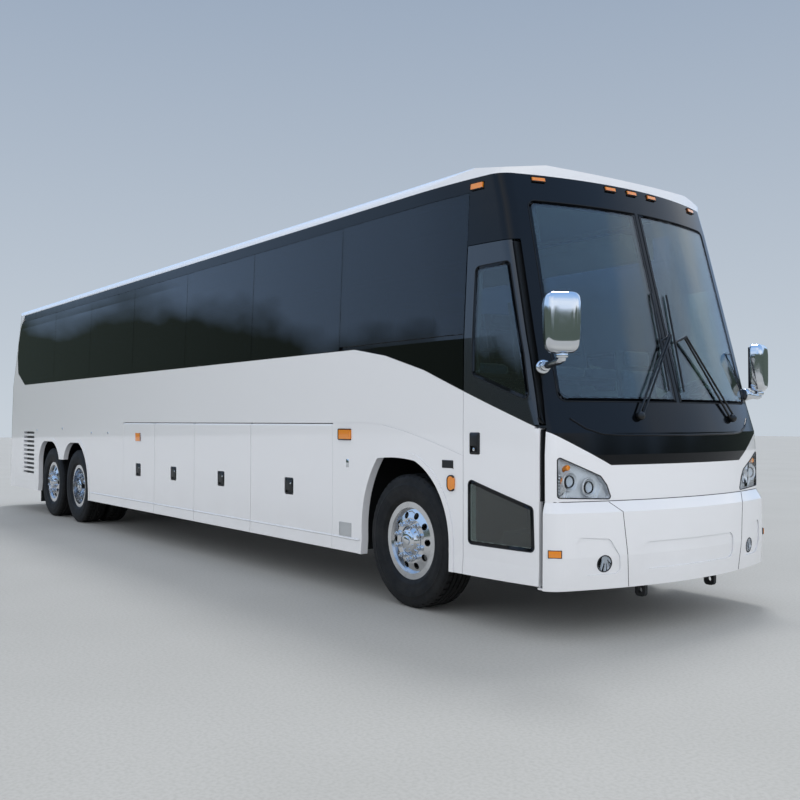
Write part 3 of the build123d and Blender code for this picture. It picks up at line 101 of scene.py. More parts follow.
# ribs beside the low beam: the lowest one's corners from the front axle, the step to the next
RIB = ((1.508, -1.136, 0.985), (1.530, -1.098, 0.993))
RIB_STEP = (0.004, 0, 0.021)
RIB_COUNT = 7
BELLOWS = ((0.10, 0.0), (0.16, 0.004), (0.165, 0.05), (0.135, 0.085), (0.165, 0.12), (0.165, 0.15),
           (0.135, 0.185), (0.160, 0.22), (0.155, 0.262), (0.10, 0.266))
# pads: kind, rear and front, foot and top, how much narrower than the seat on each side, roundness
PASSENGER_PADS = (("cushion", -0.425, 0.022, 0.348, 0.428, 0.0, 0.030),
                  ("back", -0.045, 0.022, 0.0, 0.500, 0.0, 0.028),
                  ("head", -0.045, 0.026, 0.505, 0.640, 0.05, 0.030))
DRIVER_PADS = (("cushion", -0.330, 0.034, 0.318, 0.385, 0.0, 0.030),
               ("back", -0.040, 0.020, 0.0, 0.430, 0.0, 0.026),
               ("head", -0.040, 0.020, 0.440, 0.585, 0.07, 0.028))
SEAM_HALF = 0.03             # half width of a sewn channel
CLOTH_FRAMES = 20
CLOTH_PRESSURE = 4
# lines on the front, seen from before: (half width, height)
BUMPER_SEAM = ((0.768, 0.928), (0.692, 0.860), (0.636, 0.345))
# painted shadow: a dark line along the bumper's top ledge, where the front panel's crease shades it
BUMPER_LEDGE_SHADOW = (1.17, 0.9335)
MASK_CREST = ((1.02, 1.500), (0.92, 1.432), (0.80, 1.394), (0.66, 1.386), (0.0, 1.380))
RAIL_ENDS = (-7.37, -0.60)   # the rub rail, from the front axle
MARKER_AT = (1.532, -1.155, 0.590)   # the bumper's marker, from the front axle
# colours of dust, floor and sky
BRAKE_DUST = "#8B8A86"
FLOOR_CLOUD, FLOOR_GRIT = "#A9A9A6", "#8E8D89"
ROOM, SKYLINE, CLOUD = "#EDF1F6", "#4A5550", "#F2F5F8"
SKY_LOW, SKY_HIGH = "#ACC8EA", "#6F9FDC"


# Colours and nodes

def paint(code):
    """sRGB hex to the linear colour that a shader takes."""
    parts = [int(code[i:i + 2], 16) / 255 for i in (1, 3, 5)]
    return (*(c / 12.92 if c <= 0.04045 else ((c + 0.055) / 1.055) ** 2.4 for c in parts), 1.0)


def add(tree, kind, settings=None, **inputs):
    """One node: settings are its fields; inputs are numbers, colours or sockets by name."""
    made = tree.nodes.new(kind)
    for field, value in (settings or {}).items():
        setattr(made, field, value)
    for name, value in inputs.items():
        key = int(name[1:]) if name[0] == "i" and name[1:].isdigit() else name.replace("_", " ")
        if isinstance(value, bpy.types.NodeSocket):
            tree.links.new(value, made.inputs[key])
        else:
            made.inputs[key].default_value = value
    return made


def surface(name, **shader):
    """A new material with one Principled shader; returns material, tree and shader."""
    material = bpy.data.materials.new(name)
    material.use_nodes = True
    tree = material.node_tree
    tree.nodes.clear()
    principled = add(tree, "ShaderNodeBsdfPrincipled", **shader)
    output = add(tree, "ShaderNodeOutputMaterial")
    tree.links.new(principled.outputs[0], output.inputs["Surface"])
    return material, tree, principled


def on_object(tree, centre=(0, 0, 0), stretch=(1, 1, 1)):
    """Object coordinates, moved to a centre and stretched."""
    place = add(tree, "ShaderNodeTexCoord")
    return add(tree, "ShaderNodeMapping", Vector=place.outputs["Object"],
               Location=tuple(-c * s for c, s in zip(centre, stretch)), Scale=stretch).outputs[0]


def noise(tree, where, size, detail=3.0, roughness=0.5):
    """Noise whose lumps are about size metres across."""
    return add(tree, "ShaderNodeTexNoise", Vector=where, Scale=1 / size, Detail=detail,
               Roughness=roughness).outputs["Fac"]


def spread(tree, value, low, high, start=0.0, end=1.0):
    """A value mapped from start..end to low..high, held inside it."""
    return add(tree, "ShaderNodeMapRange", i0=value, i1=start, i2=end, i3=low, i4=high).outputs[0]


def reckon(tree, operation, *values):
    """A sum, product or comparison of values or sockets."""
    inputs = {f"i{number}": value for number, value in enumerate(values)}
    return add(tree, "ShaderNodeMath", {"operation": operation}, **inputs).outputs[0]


def feed(tree, shader, **sockets):
    """Link sockets to a shader's inputs by name."""
    for name, socket in sockets.items():
        tree.links.new(socket, shader.inputs[name.replace("_", " ")])


def blend(tree, share, first, second):
    """Two colours mixed by a share."""
    return add(tree, "ShaderNodeMix", {"data_type": "RGBA"}, i0=share, i6=first,
               i7=second).outputs[2]


def relief(tree, principled, height, depth, strength=1.0, coat=False):
    """Bump of a real depth in metres on the surface, and on its coat if it has one."""
    bump = add(tree, "ShaderNodeBump", Strength=strength, Distance=depth, Height=height).outputs[0]
    tree.links.new(bump, principled.inputs["Normal"])
    if coat:
        tree.links.new(bump, principled.inputs["Coat Normal"])


# Finishes

def coach_enamel(name, colour, dust, road=0.12):
    """Sprayed two-pack enamel: deep wet gloss, faint orange peel, dull road film near the skirt."""
    material, tree, shader = surface(name, Roughness=0.28, Coat_Weight=1.0, Coat_Roughness=0.03)
    where = on_object(tree)
    height = add(tree, "ShaderNodeSeparateXYZ", Vector=where).outputs["Z"]
    low = spread(tree, height, 1.0, 0.0, 0.30, 1.05)
    patch = noise(tree, where, 0.35, 6, 0.6)
    film = reckon(tree, "MULTIPLY", reckon(tree, "MULTIPLY", low, patch), road * 2)
    feed(tree, shader, Base_Color=blend(tree, film, paint(colour), paint(dust)),
         Roughness=spread(tree, film, 0.24, 0.45))
    # orange peel is about 3 mm across; 9 mm is the finest that still shows from the camera
    relief(tree, shader, noise(tree, where, 0.009, 1), 0.00002, 0.5, coat=True)
    return material


def door_enamel(name, lower, upper, dust, slope, level):
    """The entrance door's enamel: white below the swept waist line, gloss black above it."""
    material = coach_enamel(name, lower, dust)
    tree = material.node_tree
    shader = next(n for n in tree.nodes if n.type == "BSDF_PRINCIPLED")
    below = shader.inputs["Base Color"].links[0].from_socket
    where = on_object(tree)
    rise = add(tree, "ShaderNodeVectorMath", {"operation": "DOT_PRODUCT"}, i0=where,
               i1=(slope, 0, 1)).outputs["Value"]
    above = reckon(tree, "GREATER_THAN", rise, level)
    feed(tree, shader, Base_Color=blend(tree, above, below, paint(upper)))
    return material


def gloss_black(name, colour):
    """Gloss black enamel on moulded panels: near mirror, with the slight waviness of a moulding."""
    material, tree, shader = surface(name, Base_Color=paint(colour), Roughness=0.1,
                                     Specular_IOR_Level=0.3)
    where = on_object(tree)
    relief(tree, shader, noise(tree, where, 0.45, 1), 0.0006, 0.6)
    feed(tree, shader, Roughness=spread(tree, noise(tree, where, 0.12, 5), 0.08, 0.18))
    return material


def tinted_glass(name, colour, ripple=0.0008, gloss=0.3, bend=1.5):
    """Toughened glass tinted in the mass: dark, with the gentle ripple that rollers leave in it."""
    material, tree, shader = surface(name, Base_Color=paint(colour), Roughness=0.02, IOR=bend,
                                     Specular_IOR_Level=gloss, Transmission_Weight=1.0)
    relief(tree, shader, noise(tree, on_object(tree), 0.8, 1), ripple, 0.5)
    return lets_lamps_through(material, tree, shader, colour)


def lets_lamps_through(material, tree, shader, colour):
    """Lamp and room light passes the glass straight, tinted, so what is behind it isn't black."""
    path = add(tree, "ShaderNodeLightPath").outputs
    ray = reckon(tree, "MAXIMUM", path["Is Shadow Ray"], path["Is Diffuse Ray"])
    open_way = add(tree, "ShaderNodeBsdfTransparent", Color=paint(colour))
    mix = add(tree, "ShaderNodeMixShader", i0=ray, i1=shader.outputs[0], i2=open_way.outputs[0])
    output = next(n for n in tree.nodes if n.type == "OUTPUT_MATERIAL")
    tree.links.new(mix.outputs[0], output.inputs["Surface"])
    return material


def clear_lens(name, colour):
    """Moulded clear polycarbonate: a colourless hard gloss over the lamp's bowls."""
    material, tree, shader = surface(name, Base_Color=paint(colour), Roughness=0.02, IOR=1.25,
                                     Transmission_Weight=1.0)
    return lets_lamps_through(material, tree, shader, colour)


def moulded_lens(name, colour, deep, pitch=6 * MM):
    """Coloured acrylic lens: saturated, glossy, with fine prisms moulded across its back."""
    material, tree, shader = surface(name, Roughness=0.12, IOR=1.49, Coat_Weight=1.0,
                                     Coat_Roughness=0.02, Subsurface_Weight=0.15,
                                     Subsurface_Scale=0.01)
    where = on_object(tree)
    prisms = add(tree, "ShaderNodeTexWave", {"bands_direction": "Z"}, Vector=where,
                 Scale=1 / (2 * pitch), Distortion=0.0).outputs["Fac"]
    feed(tree, shader, Base_Color=blend(tree, prisms, paint(deep), paint(colour)))
    return material


def plated(name, colour, roughness=0.04):
    """Bright chrome plate: a clean mirror with a faint ripple from the pressing under it."""
    material, tree, shader = surface(name, Base_Color=paint(colour), Metallic=1.0,
                                     Roughness=roughness)
    where = on_object(tree)
    relief(tree, shader, noise(tree, where, 0.12, 2), 0.0005, 0.4)
    feed(tree, shader,
         Roughness=spread(tree, noise(tree, where, 0.05, 4), roughness * 0.7, roughness * 2.2))
    return material


def spun_aluminium(name, colour, axle_x, axle_z):
    """Forged aluminium, polished on a lathe: bright, finely ringed, with a little brake dust."""
    material, tree, shader = surface(name, Metallic=1.0)
    where = on_object(tree, (axle_x, 0, axle_z))
    rings = add(tree, "ShaderNodeTexWave", {"wave_type": "RINGS", "rings_direction": "Y"},
                Vector=where, Scale=40.0, Distortion=0.4, Detail=2.0).outputs["Fac"]
    grime = noise(tree, where, 0.07, 5, 0.65)
    dusty = blend(tree, spread(tree, grime, 0.0, 0.5, 0.5, 0.9), paint(colour), paint(BRAKE_DUST))
    feed(tree, shader, Base_Color=dusty, Roughness=spread(tree, rings, 0.07, 0.15))
    relief(tree, shader, rings, 0.00006, 0.35)
    return material


def satin(name, colour, grain=4 * MM, depth=0.05 * MM, roughness=0.5, metallic=0.0):
    """Painted or moulded satin: an even dull sheen over a fine grain."""
    material, tree, shader = surface(name, Metallic=metallic)
    where = on_object(tree)
    broad = noise(tree, where, 0.25, 4)
    darker = tuple(c * 0.72 for c in paint(colour)[:3]) + (1.0,)
    mottled = blend(tree, spread(tree, broad, 0, 0.5, 0.35, 0.8), paint(colour), darker)
    dull = spread(tree, broad, roughness * 0.85, min(roughness * 1.2, 1))
    feed(tree, shader, Base_Color=mottled, Roughness=dull)
    relief(tree, shader, noise(tree, where, grain, 2), depth, 0.8)
    return material


def tyre_rubber(name, colour, dust):
    """Cured tread rubber: charcoal and dull, browned by road dust in random patches."""
    material, tree, shader = surface(name, Roughness=0.72, Specular_IOR_Level=0.35)
    where = on_object(tree)
    grime = spread(tree, noise(tree, where, 0.16, 7, 0.65), 0.0, 0.55, 0.42, 0.8)
    feed(tree, shader, Base_Color=blend(tree, grime, paint(colour), paint(dust)),
         Roughness=spread(tree, noise(tree, where, 0.05, 4), 0.55, 0.85))
    relief(tree, shader, noise(tree, where, 0.006, 3), 0.0002, 0.7)
    return material


def moquette(name, colour, fleck):
    """Woven seat moquette: short pile in a small check, soft at its edges."""
    material, tree, shader = surface(name, Roughness=0.92, Sheen_Weight=0.5, Sheen_Roughness=0.45,
                                     Specular_IOR_Level=0.2)
    where = on_object(tree)
    # real threads are 1 mm; 8 mm is the finest check that shows through the glass
    weave = add(tree, "ShaderNodeTexChecker", Vector=where, Scale=1 / 0.016).outputs["Fac"]
    patch = noise(tree, where, 0.03, 3)
    share = reckon(tree, "MULTIPLY", weave, patch)
    feed(tree, shader, Base_Color=blend(tree, share, paint(colour), paint(fleck)))
    relief(tree, shader, noise(tree, where, 0.004, 2), 0.0004, 0.6)
    return material


FINISHES = {
    "white_paint": lambda look: coach_enamel("white_coach_enamel", look.white, look.dust),
    "black_gloss": lambda look: gloss_black("gloss_black_enamel", look.black),
    "side_glass": lambda look: tinted_glass("privacy_tinted_glass", look.side_glass, gloss=0.3),
    "screen_glass": lambda look: tinted_glass("laminated_screen_glass", look.screen_glass, 0.0004,
                                              1.0, 1.7),
    "lamp_glass": lambda look: clear_lens("clear_polycarbonate", "#F4F7FA"),
    "amber_lens": lambda look: moulded_lens("amber_acrylic", look.amber, "#DE760C"),
    "red_lens": lambda look: moulded_lens("red_acrylic", look.red, "#5E0B0B"),
    "chrome": lambda look: plated("bright_chrome_plate", "#DDE0E4"),
    "black_metal": lambda look: satin("satin_black_steel", "#141516", roughness=0.38),
    "chassis_paint": lambda look: satin("chassis_black", "#1C1D1F", grain=6 * MM, roughness=0.6),
    "step_plastic": lambda look: satin("grained_grey_moulding", "#3A3C40", grain=3 * MM,
                                       depth=0.2 * MM, roughness=0.6),
    "engine_iron": lambda look: satin("cast_iron", "#4A4A4A", grain=5 * MM, depth=0.4 * MM,
                                      roughness=0.7, metallic=0.6),
    "flap_rubber": lambda look: satin("sheet_rubber", "#17181A", grain=5 * MM, depth=0.2 * MM,
                                      roughness=0.8),
    "seat_cloth": lambda look: moquette("seat_moquette", look.cloth, "#5B6E93"),
    "tyre": lambda look: tyre_rubber("tyre_rubber", "#121213", "#2C2A27"),
    "wheel_metal": lambda look: plated("polished_aluminium", "#D9DADC", 0.12),
    # finishes of trim that shares a slot
    "cab_glass": lambda look: tinted_glass("green_cab_glass", look.cab_glass, 0.0006, 1.0, 1.7),
    "lamp_silver": lambda look: satin("vacuum_silvered_moulding", "#E9EBED", roughness=0.3,
                                      metallic=0.25),
    "cabin_floor": lambda look: satin("ribbed_vinyl_floor", "#4B5058", grain=5 * MM, depth=0.2 * MM,
                                      roughness=0.65),
    "cabin_lining": lambda look: satin("trimmed_cabin_lining", "#A7A8A8", grain=4 * MM,
                                       depth=0.1 * MM, roughness=0.8),
    "plain_grey": lambda look: satin("grey_moulding", "#B4B7BA", grain=3 * MM, roughness=0.45),
    "seat_shell": lambda look: satin("moulded_seat_shell", "#23262B", grain=3 * MM, roughness=0.5),
    "seal_rubber": lambda look: satin("seal_rubber", "#0E0F10", grain=3 * MM, roughness=0.7),
    "silvered_glass": lambda look: plated("silvered_mirror_glass", "#E4E8EC", 0.01),
}
made_finishes = {}


def finish_of(slot):
    """The finish of a material slot, made once."""
    if slot not in made_finishes:
        made_finishes[slot] = FINISHES[slot](bpy.context.scene.coach_paint)
    return made_finishes[slot]


# Modelling

def deselect():
    """Clear the selection, so an operator acts on the new piece only."""
    bpy.ops.object.select_all(action="DESELECT")


def only(piece):
    """Make one piece the selected and active one."""
    deselect()
    piece.select_set(True)
    bpy.context.view_layer.objects.active = piece


@contextmanager
def editing(piece, mode="FACE"):
    """Edit mode on one piece, everything in it selected at first."""
    only(piece)
    bpy.ops.object.mode_set(mode="EDIT")
    bpy.ops.mesh.select_mode(type=mode)
    select_all()
    yield
    bpy.ops.object.mode_set(mode="OBJECT")


def select_all(action="SELECT"):
    """In edit mode: select, deselect or invert everything."""
    bpy.ops.mesh.select_all(action=action)


def draw_out(step):
    """In edit mode: extrude what is selected by a step."""
    bpy.ops.mesh.extrude_region_move(TRANSFORM_OT_translate={"value": step})


def cut_in(depth):
    """In edit mode: extrude what is selected into the piece."""
    bpy.ops.mesh.extrude_region_shrink_fatten(TRANSFORM_OT_shrink_fatten={"value": -depth})


def pick_faces(piece, wanted):
    """In edit mode: select the faces for which wanted(middle, normal) is true."""
    mesh = bmesh.from_edit_mesh(piece.data)
    select_all("DESELECT")
    for face in mesh.faces:
        if wanted(face.calc_center_median(), face.normal):
            face.select_set(True)
    bmesh.update_edit_mesh(piece.data)


def drop_faces(piece, unwanted):
    """In edit mode: delete the faces that unwanted(middle, normal) picks, select the rest."""
    pick_faces(piece, unwanted)
    bpy.ops.mesh.delete(type="FACE")
    select_all()


def sink(piece, wanted, border, floor=0.0, push=None):
    """Inset the faces that wanted(middle, normal) picks, and push them to a recess's floor."""
    with editing(piece):
        pick_faces(piece, wanted)
        bpy.ops.mesh.inset(thickness=border, depth=floor)
        if push:
            draw_out(push)


def keep_outline(piece):
    """Leave only the open edges of a skin."""
    with editing(piece, "EDGE"):
        select_all("DESELECT")
        bpy.ops.mesh.select_non_manifold()
        select_all("INVERT")
        bpy.ops.mesh.delete(type="EDGE_FACE")


def outwards(middle, normal):
    """A face that looks out of the right side."""
    return normal.y < -FACING


def backwards(middle, normal):
    """A face that looks to the rear."""
    return normal.x < -FACING


def modify(piece, kind, **settings):
    """Add one modifier and apply it."""
    only(piece)
    modifier = piece.modifiers.new(kind.title(), kind)
    for field, value in settings.items():
        setattr(modifier, field, value)
    bpy.ops.object.modifier_apply(modifier=modifier.name)


def settled(name, scale=(1, 1, 1)):
    """Name the object that was just added and move its place, turn and scale into its mesh."""
    piece = bpy.context.object
    piece.name = name
    piece.scale = scale
    bpy.ops.object.transform_apply(location=True, rotation=True, scale=True)
    return piece


def block(name, low, high, edge=0.0, segments=2):
    """A rounded block between two corners."""
    deselect()
    bpy.ops.mesh.primitive_cube_add(size=1, location=[(a + b) / 2 for a, b in zip(low, high)])
    piece = settled(name, [abs(b - a) for a, b in zip(low, high)])
    if edge:
        modify(piece, "BEVEL", width=edge, segments=segments, limit_method="ANGLE")
    return piece


def barrel(name, centre, radius, length, axis="Y", sides=32, edge=0.0):
    """A round bar with softened ends along one axis."""
    turn = {"X": (0, pi / 2, 0), "Y": (pi / 2, 0, 0), "Z": (0, 0, 0)}[axis]
    deselect()
    bpy.ops.mesh.primitive_cylinder_add(vertices=sides, radius=radius, depth=length,
                                        location=centre, rotation=turn)
    piece = settled(name)
    if edge:
        modify(piece, "BEVEL", width=edge, segments=2, limit_method="ANGLE",
               angle_limit=radians(50))
    return piece


def drawn(name, start, steps):
    """A vertex at start, drawn out by one step after another."""
    deselect()
    bpy.ops.mesh.primitive_plane_add(size=0.01, location=start)
    piece = settled(name)
    with editing(piece, "VERT"):
        bpy.ops.mesh.merge(type="CENTER")
        for step in steps:
            draw_out(step)
    return piece


def turned(name, centre, profile, steps=48):
    """A ring spun about the Y axis through centre from (radius, outward) points, taken in order."""
    x, y, z = centre
    legs = [(0, after[1] - before[1], after[0] - before[0]) for before,
            after in zip(profile, profile[1:])]
    piece = drawn(name, (x, y + profile[0][1], z + profile[0][0]), legs)
    with editing(piece, "VERT"):
        bpy.ops.mesh.spin(steps=steps, angle=2 * pi, center=centre, axis=(0, 1, 0))
        select_all()
        bpy.ops.mesh.remove_doubles(threshold=1e-5)
        bpy.ops.mesh.normals_make_consistent(inside=False)
    return piece


def copied(piece, name, matrix):
    """A copy with its own mesh, its place turned or moved in the mesh."""
    twin = piece.copy()
    twin.data = piece.data.copy()
    twin.name = name
    bpy.context.scene.collection.objects.link(twin)
    twin.data.transform(matrix)
    if matrix.determinant() < 0:
        twin.data.flip_normals()
    return twin


def joined(pieces, name):
    """Several pieces as one mesh."""
    deselect()
    for piece in pieces:
        piece.select_set(True)
    bpy.context.view_layer.objects.active = pieces[0]
    bpy.ops.object.join()
    pieces[0].name = name
    return pieces[0]


def about_axle(centre, angle):
    """A turn about the Y axis through a wheel's centre."""
    return Matrix.Translation(centre) @ Matrix.Rotation(angle, 4,
                                                        "Y") @ Matrix.Translation(-Vector(centre))


MIRROR_Y = Matrix.Scale(-1, 4, (0, 1, 0))
# a backrest from its foot to its place and lean on the seat's base
SEAT_LEAN = Matrix.Translation((-0.395, 0, 0.430)) @ Matrix.Rotation(radians(-10.3), 4, "Y")
DRIVER_LEAN = Matrix.Translation((-0.320, 0, 0.395)) @ Matrix.Rotation(radians(-5.6), 4, "Y")


def hand_over(piece, body, slot, finish=None, smooth=35):
    """Shade the piece, give it its slot's finish or a named one, and let it ride on its body."""
    only(piece)
    bpy.ops.object.shade_smooth_by_angle(angle=radians(smooth))
    piece.data.materials.clear()
    piece.data.materials.append(finish_of(finish or slot))
    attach(piece, body)
    return piece


def on_both_sides(right, body, slot, finish=None, smooth=35):
    """Hand over a right-hand piece and its mirrored copy, each on the body of its side."""
    left = copied(right, right.name.replace("right", "left"), MIRROR_Y)
    hand_over(right, body, slot, finish, smooth)
    hand_over(left, body.replace("right", "left"), slot, finish, smooth)
    return right, left


def from_node(node, name):
    """A copy of a part's mesh, merged, that may be reshaped."""
    source = frame["nodes"][node]
    piece = bpy.data.objects.new(name, source.data.copy())
    bpy.context.scene.collection.objects.link(piece)
    with editing(piece, "VERT"):
        bpy.ops.mesh.remove_doubles(threshold=0.00005)
    return piece


def as_tube(piece, radius):
    """A mesh of loose edges as a round tube along them."""
    only(piece)
    bpy.ops.object.convert(target="CURVE")
    curve = bpy.context.object
    curve.data.bevel_depth = radius
    curve.data.bevel_resolution = 2
    bpy.ops.object.convert(target="MESH")
    return bpy.context.object


def on_skin(nodes, start, way):
    """Where a line from start along way first meets one of the parts, and the normal there."""
    best = None
    for node in nodes:
        hit, point, normal, _ = frame["nodes"][node].ray_cast(Vector(start), Vector(way))
        if hit and (best is None
                    or (point - Vector(start)).length < (best[0] - Vector(start)).length):
            best = (point, normal)
    if best is None:
        raise RuntimeError(f"nothing of {nodes} is met from {tuple(start)}")
    return best


def strung(name, points, radius):
    """A round line through points: a vertex drawn out from one to the next, given its thickness."""
    steps = [tuple(after - before) for before, after in zip(points, points[1:])]
    return as_tube(drawn(name, points[0], steps), radius)


def laid_line(name, nodes, points, view, radius, lift=0.0, pitch=0.06):
    """A round line on the skin of parts, through places given in the plane that faces view."""
    way = -Vector(view)
    spots = []
    for first, last in zip(points, points[1:]):
        first, last = Vector(first), Vector(last)
        count = max(1, round((last - first).length / pitch))
        spots += [first.lerp(last, i / count) for i in range(count)]
    spots.append(Vector(points[-1]))
    found = [on_skin(nodes, spot - way * 20, way) for spot in spots]
    return strung(name, [point + normal * lift for point, normal in found], radius)


# Settings

def setting(kind, name, description, default, **more):
    """One field of a group."""
    return kind(name=name, description=description, default=default, **more)


def tint(name, description, default):
    """A colour, written as sRGB hex."""
    return setting(StringProperty, name, f"{description}, sRGB hex", default)


def metres(name, description, default):
    """A length."""
    return setting(FloatProperty, name, description, default, unit="LENGTH")


def position(name, description, default):
    """A place."""
    return setting(FloatVectorProperty, name, description, default, subtype="TRANSLATION")


class CoachPaint(bpy.types.PropertyGroup):
    """Colours of the coach."""
    white: tint("Body", "Body enamel", "#E9EAEE")
    black: tint("Mask", "Mask and pillars", "#07090D")
    dust: tint("Road film", "Dust near the skirt", "#A9A69F")
    side_glass: tint("Side glass", "Tint of the side glass", "#26354A")
    screen_glass: tint("Windscreen", "Tint of the windscreen", "#C4D6D0")
    cab_glass: tint("Cab glass", "Tint of the cab's side glass", "#A3B2AE")
    amber: tint("Amber", "Marker lenses", "#F29A1C")
    red: tint("Red", "Tail lenses", "#A81212")
    cloth: tint("Cloth", "Seat moquette", "#2B3550")


class CoachTread(bpy.types.PropertyGroup):
    """The tyres."""
    width: metres("Width", "Overall width of one tyre", 0.300)
    groove: metres("Groove", "Width of a groove round the tread", 0.013)
    depth: metres("Depth", "Depth of the tread", 0.014)
    steps: setting(IntProperty, "Steps", "Facets round a tyre, three for each shoulder notch", 144,
                   min=24)


class CoachWheels(bpy.types.PropertyGroup):
    """Nuts and hubs of the disc wheels."""
    nuts: setting(IntProperty, "Nuts", "Wheel nuts on a disc", 10, min=4)
    nut: metres("Nut", "Corner radius of a nut", 0.0185)
    nut_length: metres("Nut length", "How far a nut stands out", 0.030)
    nut_circle: metres("Nut circle", "Radius of the ring of nuts", 0.150)
    hub_nose: metres("Hub nose", "How far a hub stands out of its disc", 0.060)
    bulge: metres("Bulge", "How far a front disc bulges", 0.026)


class CoachLamps(bpy.types.PropertyGroup):
    """Lamps at the front, placed from the front axle."""
    low_beam: position("Low beam", "Middle of the outer bowl", (1.563, -1.043, 1.069))
    high_beam: position("High beam", "Middle of the inner bowl", (1.606, -0.900, 1.028))
    fog: position("Fog lamp", "Middle of the fog lamp", (1.655, -0.835, 0.512))
    indicator: position("Indicator", "Middle of the amber bulb", (1.552, -1.066, 1.164))
    beam_radius: metres("Beam", "Radius of a headlamp bowl", 0.060)
    fog_radius: metres("Fog radius", "Radius of a fog lamp", 0.055)
    fog_depth: metres("Fog depth", "A fog lamp's middle behind its cover", 0.020)
    cover: metres("Cover", "Thickness of the clear covers", 0.004)
    reflector: metres("Reflector", "How far behind the cover the silvered floor lies", 0.040)
    seal: metres("Seal", "Half thickness of the seal round a lamp", 0.004)


class CoachTrim(bpy.types.PropertyGroup):
    """Trim on the sides."""
    half_width: metres("Half width", "Middle of the coach to its skin at the luggage doors", 1.283)
    latch: setting(FloatVectorProperty, "Latch", "Length and height of a latch tray",
                   (0.168, 0.158), size=2)
    latch_z: metres("Latch height", "Middle of the latches above the ground", 0.870)


class CoachSeals(bpy.types.PropertyGroup):
    """Rubber seals."""
    set_in: metres("Set in", "Skin to the door seal", 0.012)
    reach: metres("Reach", "How far the door seal stands out", 0.013)
    clear: metres("Clear", "Bumper's top to the foot of the door's seal", 0.008)
    stand_off: metres("Stand-off", "Door's end to the seal on the bumper", 0.024)
    bead: metres("Bead", "Radius of the bead round a pane", 0.0045)
    border: metres("Border", "Width of a pane's black border", 0.024)


class CoachLines(bpy.types.PropertyGroup):
    """Joints, ridges and rails on the skin."""
    # the joint's width also draws the painted shadow line along the bumper's top ledge
    joint: metres("Joint", "Half width of a joint's dark line", 0.0022)
    ridge: metres("Ridge", "Radius of the ridge across the mask", 0.008)
    rail: metres("Rub rail", "Radius of the rub rail's bead", 0.009)
    rail_z: metres("Rail height", "The rub rail above the ground", 0.478)
    marker: setting(FloatVectorProperty, "Marker", "Length and height of a bumper marker",
                    (0.084, 0.044), size=2)


class CoachSeats(bpy.types.PropertyGroup):
    """The passengers' and the driver's seats."""
    rows: setting(IntProperty, "Rows", "Rows of seats on each side", 12, min=1)
    pitch: metres("Pitch", "From one row to the next", 0.860)
    first: metres("First row", "Front of the first row's base, from the front axle", 0.150)
    aisle: metres("Aisle", "Half the aisle's width", 0.230)
    width: metres("Width", "Width of one seat of a pair", 0.450)
    floor: metres("Floor", "Cabin floor above the ground", 1.525)
    cab_floor: metres("Cab floor", "Cab floor above the ground", 1.100)
    driver: setting(FloatVectorProperty, "Driver",
                    "Front of the driver's seat base, from the front axle", (1.130, 0.640), size=2)
    voxel: metres("Voxel", "Cell of the pads' cloth mesh", 0.022)
    swell: metres("Swell", "How far a pad's cover may move as it fills", 0.014)


class CoachMirrors(bpy.types.PropertyGroup):
    """The mirror heads."""
    size: setting(FloatVectorProperty, "Head", "Width, height and depth of a head",
                  (0.250, 0.400, 0.125))
    right: position("Right head", "Middle of the right head", (6.694, -1.36, 2.115))
    left: position("Left head", "Middle of the left head", (6.335, 1.36, 1.927))
    right_root: position("Right foot", "Foot of the right arm on the pillar",
                         (6.300, -1.150, 1.850))
    left_root: position("Left foot", "Foot of the left arm on the pillar", (6.345, 1.130, 1.700))
    arm: metres("Arm", "Radius of an arm's tube", 0.026)
    front_power: setting(FloatProperty, "Front fullness", "Lower is rounder", 2.6, min=2)
    back_power: setting(FloatProperty, "Back fullness", "Higher is flatter", 12.0, min=2)
    side_power: setting(FloatProperty, "Corner fullness", "Higher is squarer", 5.0, min=2)
    right_yaw: setting(FloatProperty, "Right turn", "Turn of the right head", radians(-31),
                       unit="ROTATION")
    left_yaw: setting(FloatProperty, "Left turn", "Turn of the left head", radians(21),
                      unit="ROTATION")


class CoachStage(bpy.types.PropertyGroup):
    """The floor, the lamps and the camera."""
    floor: tint("Floor", "Floor", "#B7B7B5")
    horizon: tint("Horizon", "Background low down", "#C6CFD8")
    zenith: tint("Zenith", "Background high up", "#56779F")
    room: setting(FloatProperty, "Room light", "Strength of the light from all round", 1.6, min=0)
    gloss: setting(FloatProperty, "Gloss light", "Strength of the sky that shows in gloss", 1.3,
                   min=0)
    sun: setting(FloatProperty, "Top light", "Strength of the high lamp", 1.1, min=0)
    fill: setting(FloatProperty, "Front light", "Power of the soft lamp before the front", 70,
                  unit="POWER", min=0)
    lens: setting(FloatProperty, "Lens", "Focal length in mm", 43.26, min=1)
    eye: setting(FloatVectorProperty, "Eye", "The camera's place", (11.013, -5.861, 1.481),
                 subtype="TRANSLATION", unit="LENGTH")
    aim: setting(FloatVectorProperty, "Aim", "The camera's turn",
                 (radians(91.26), 0, radians(53.41)), subtype="EULER", unit="ROTATION")


# Operators

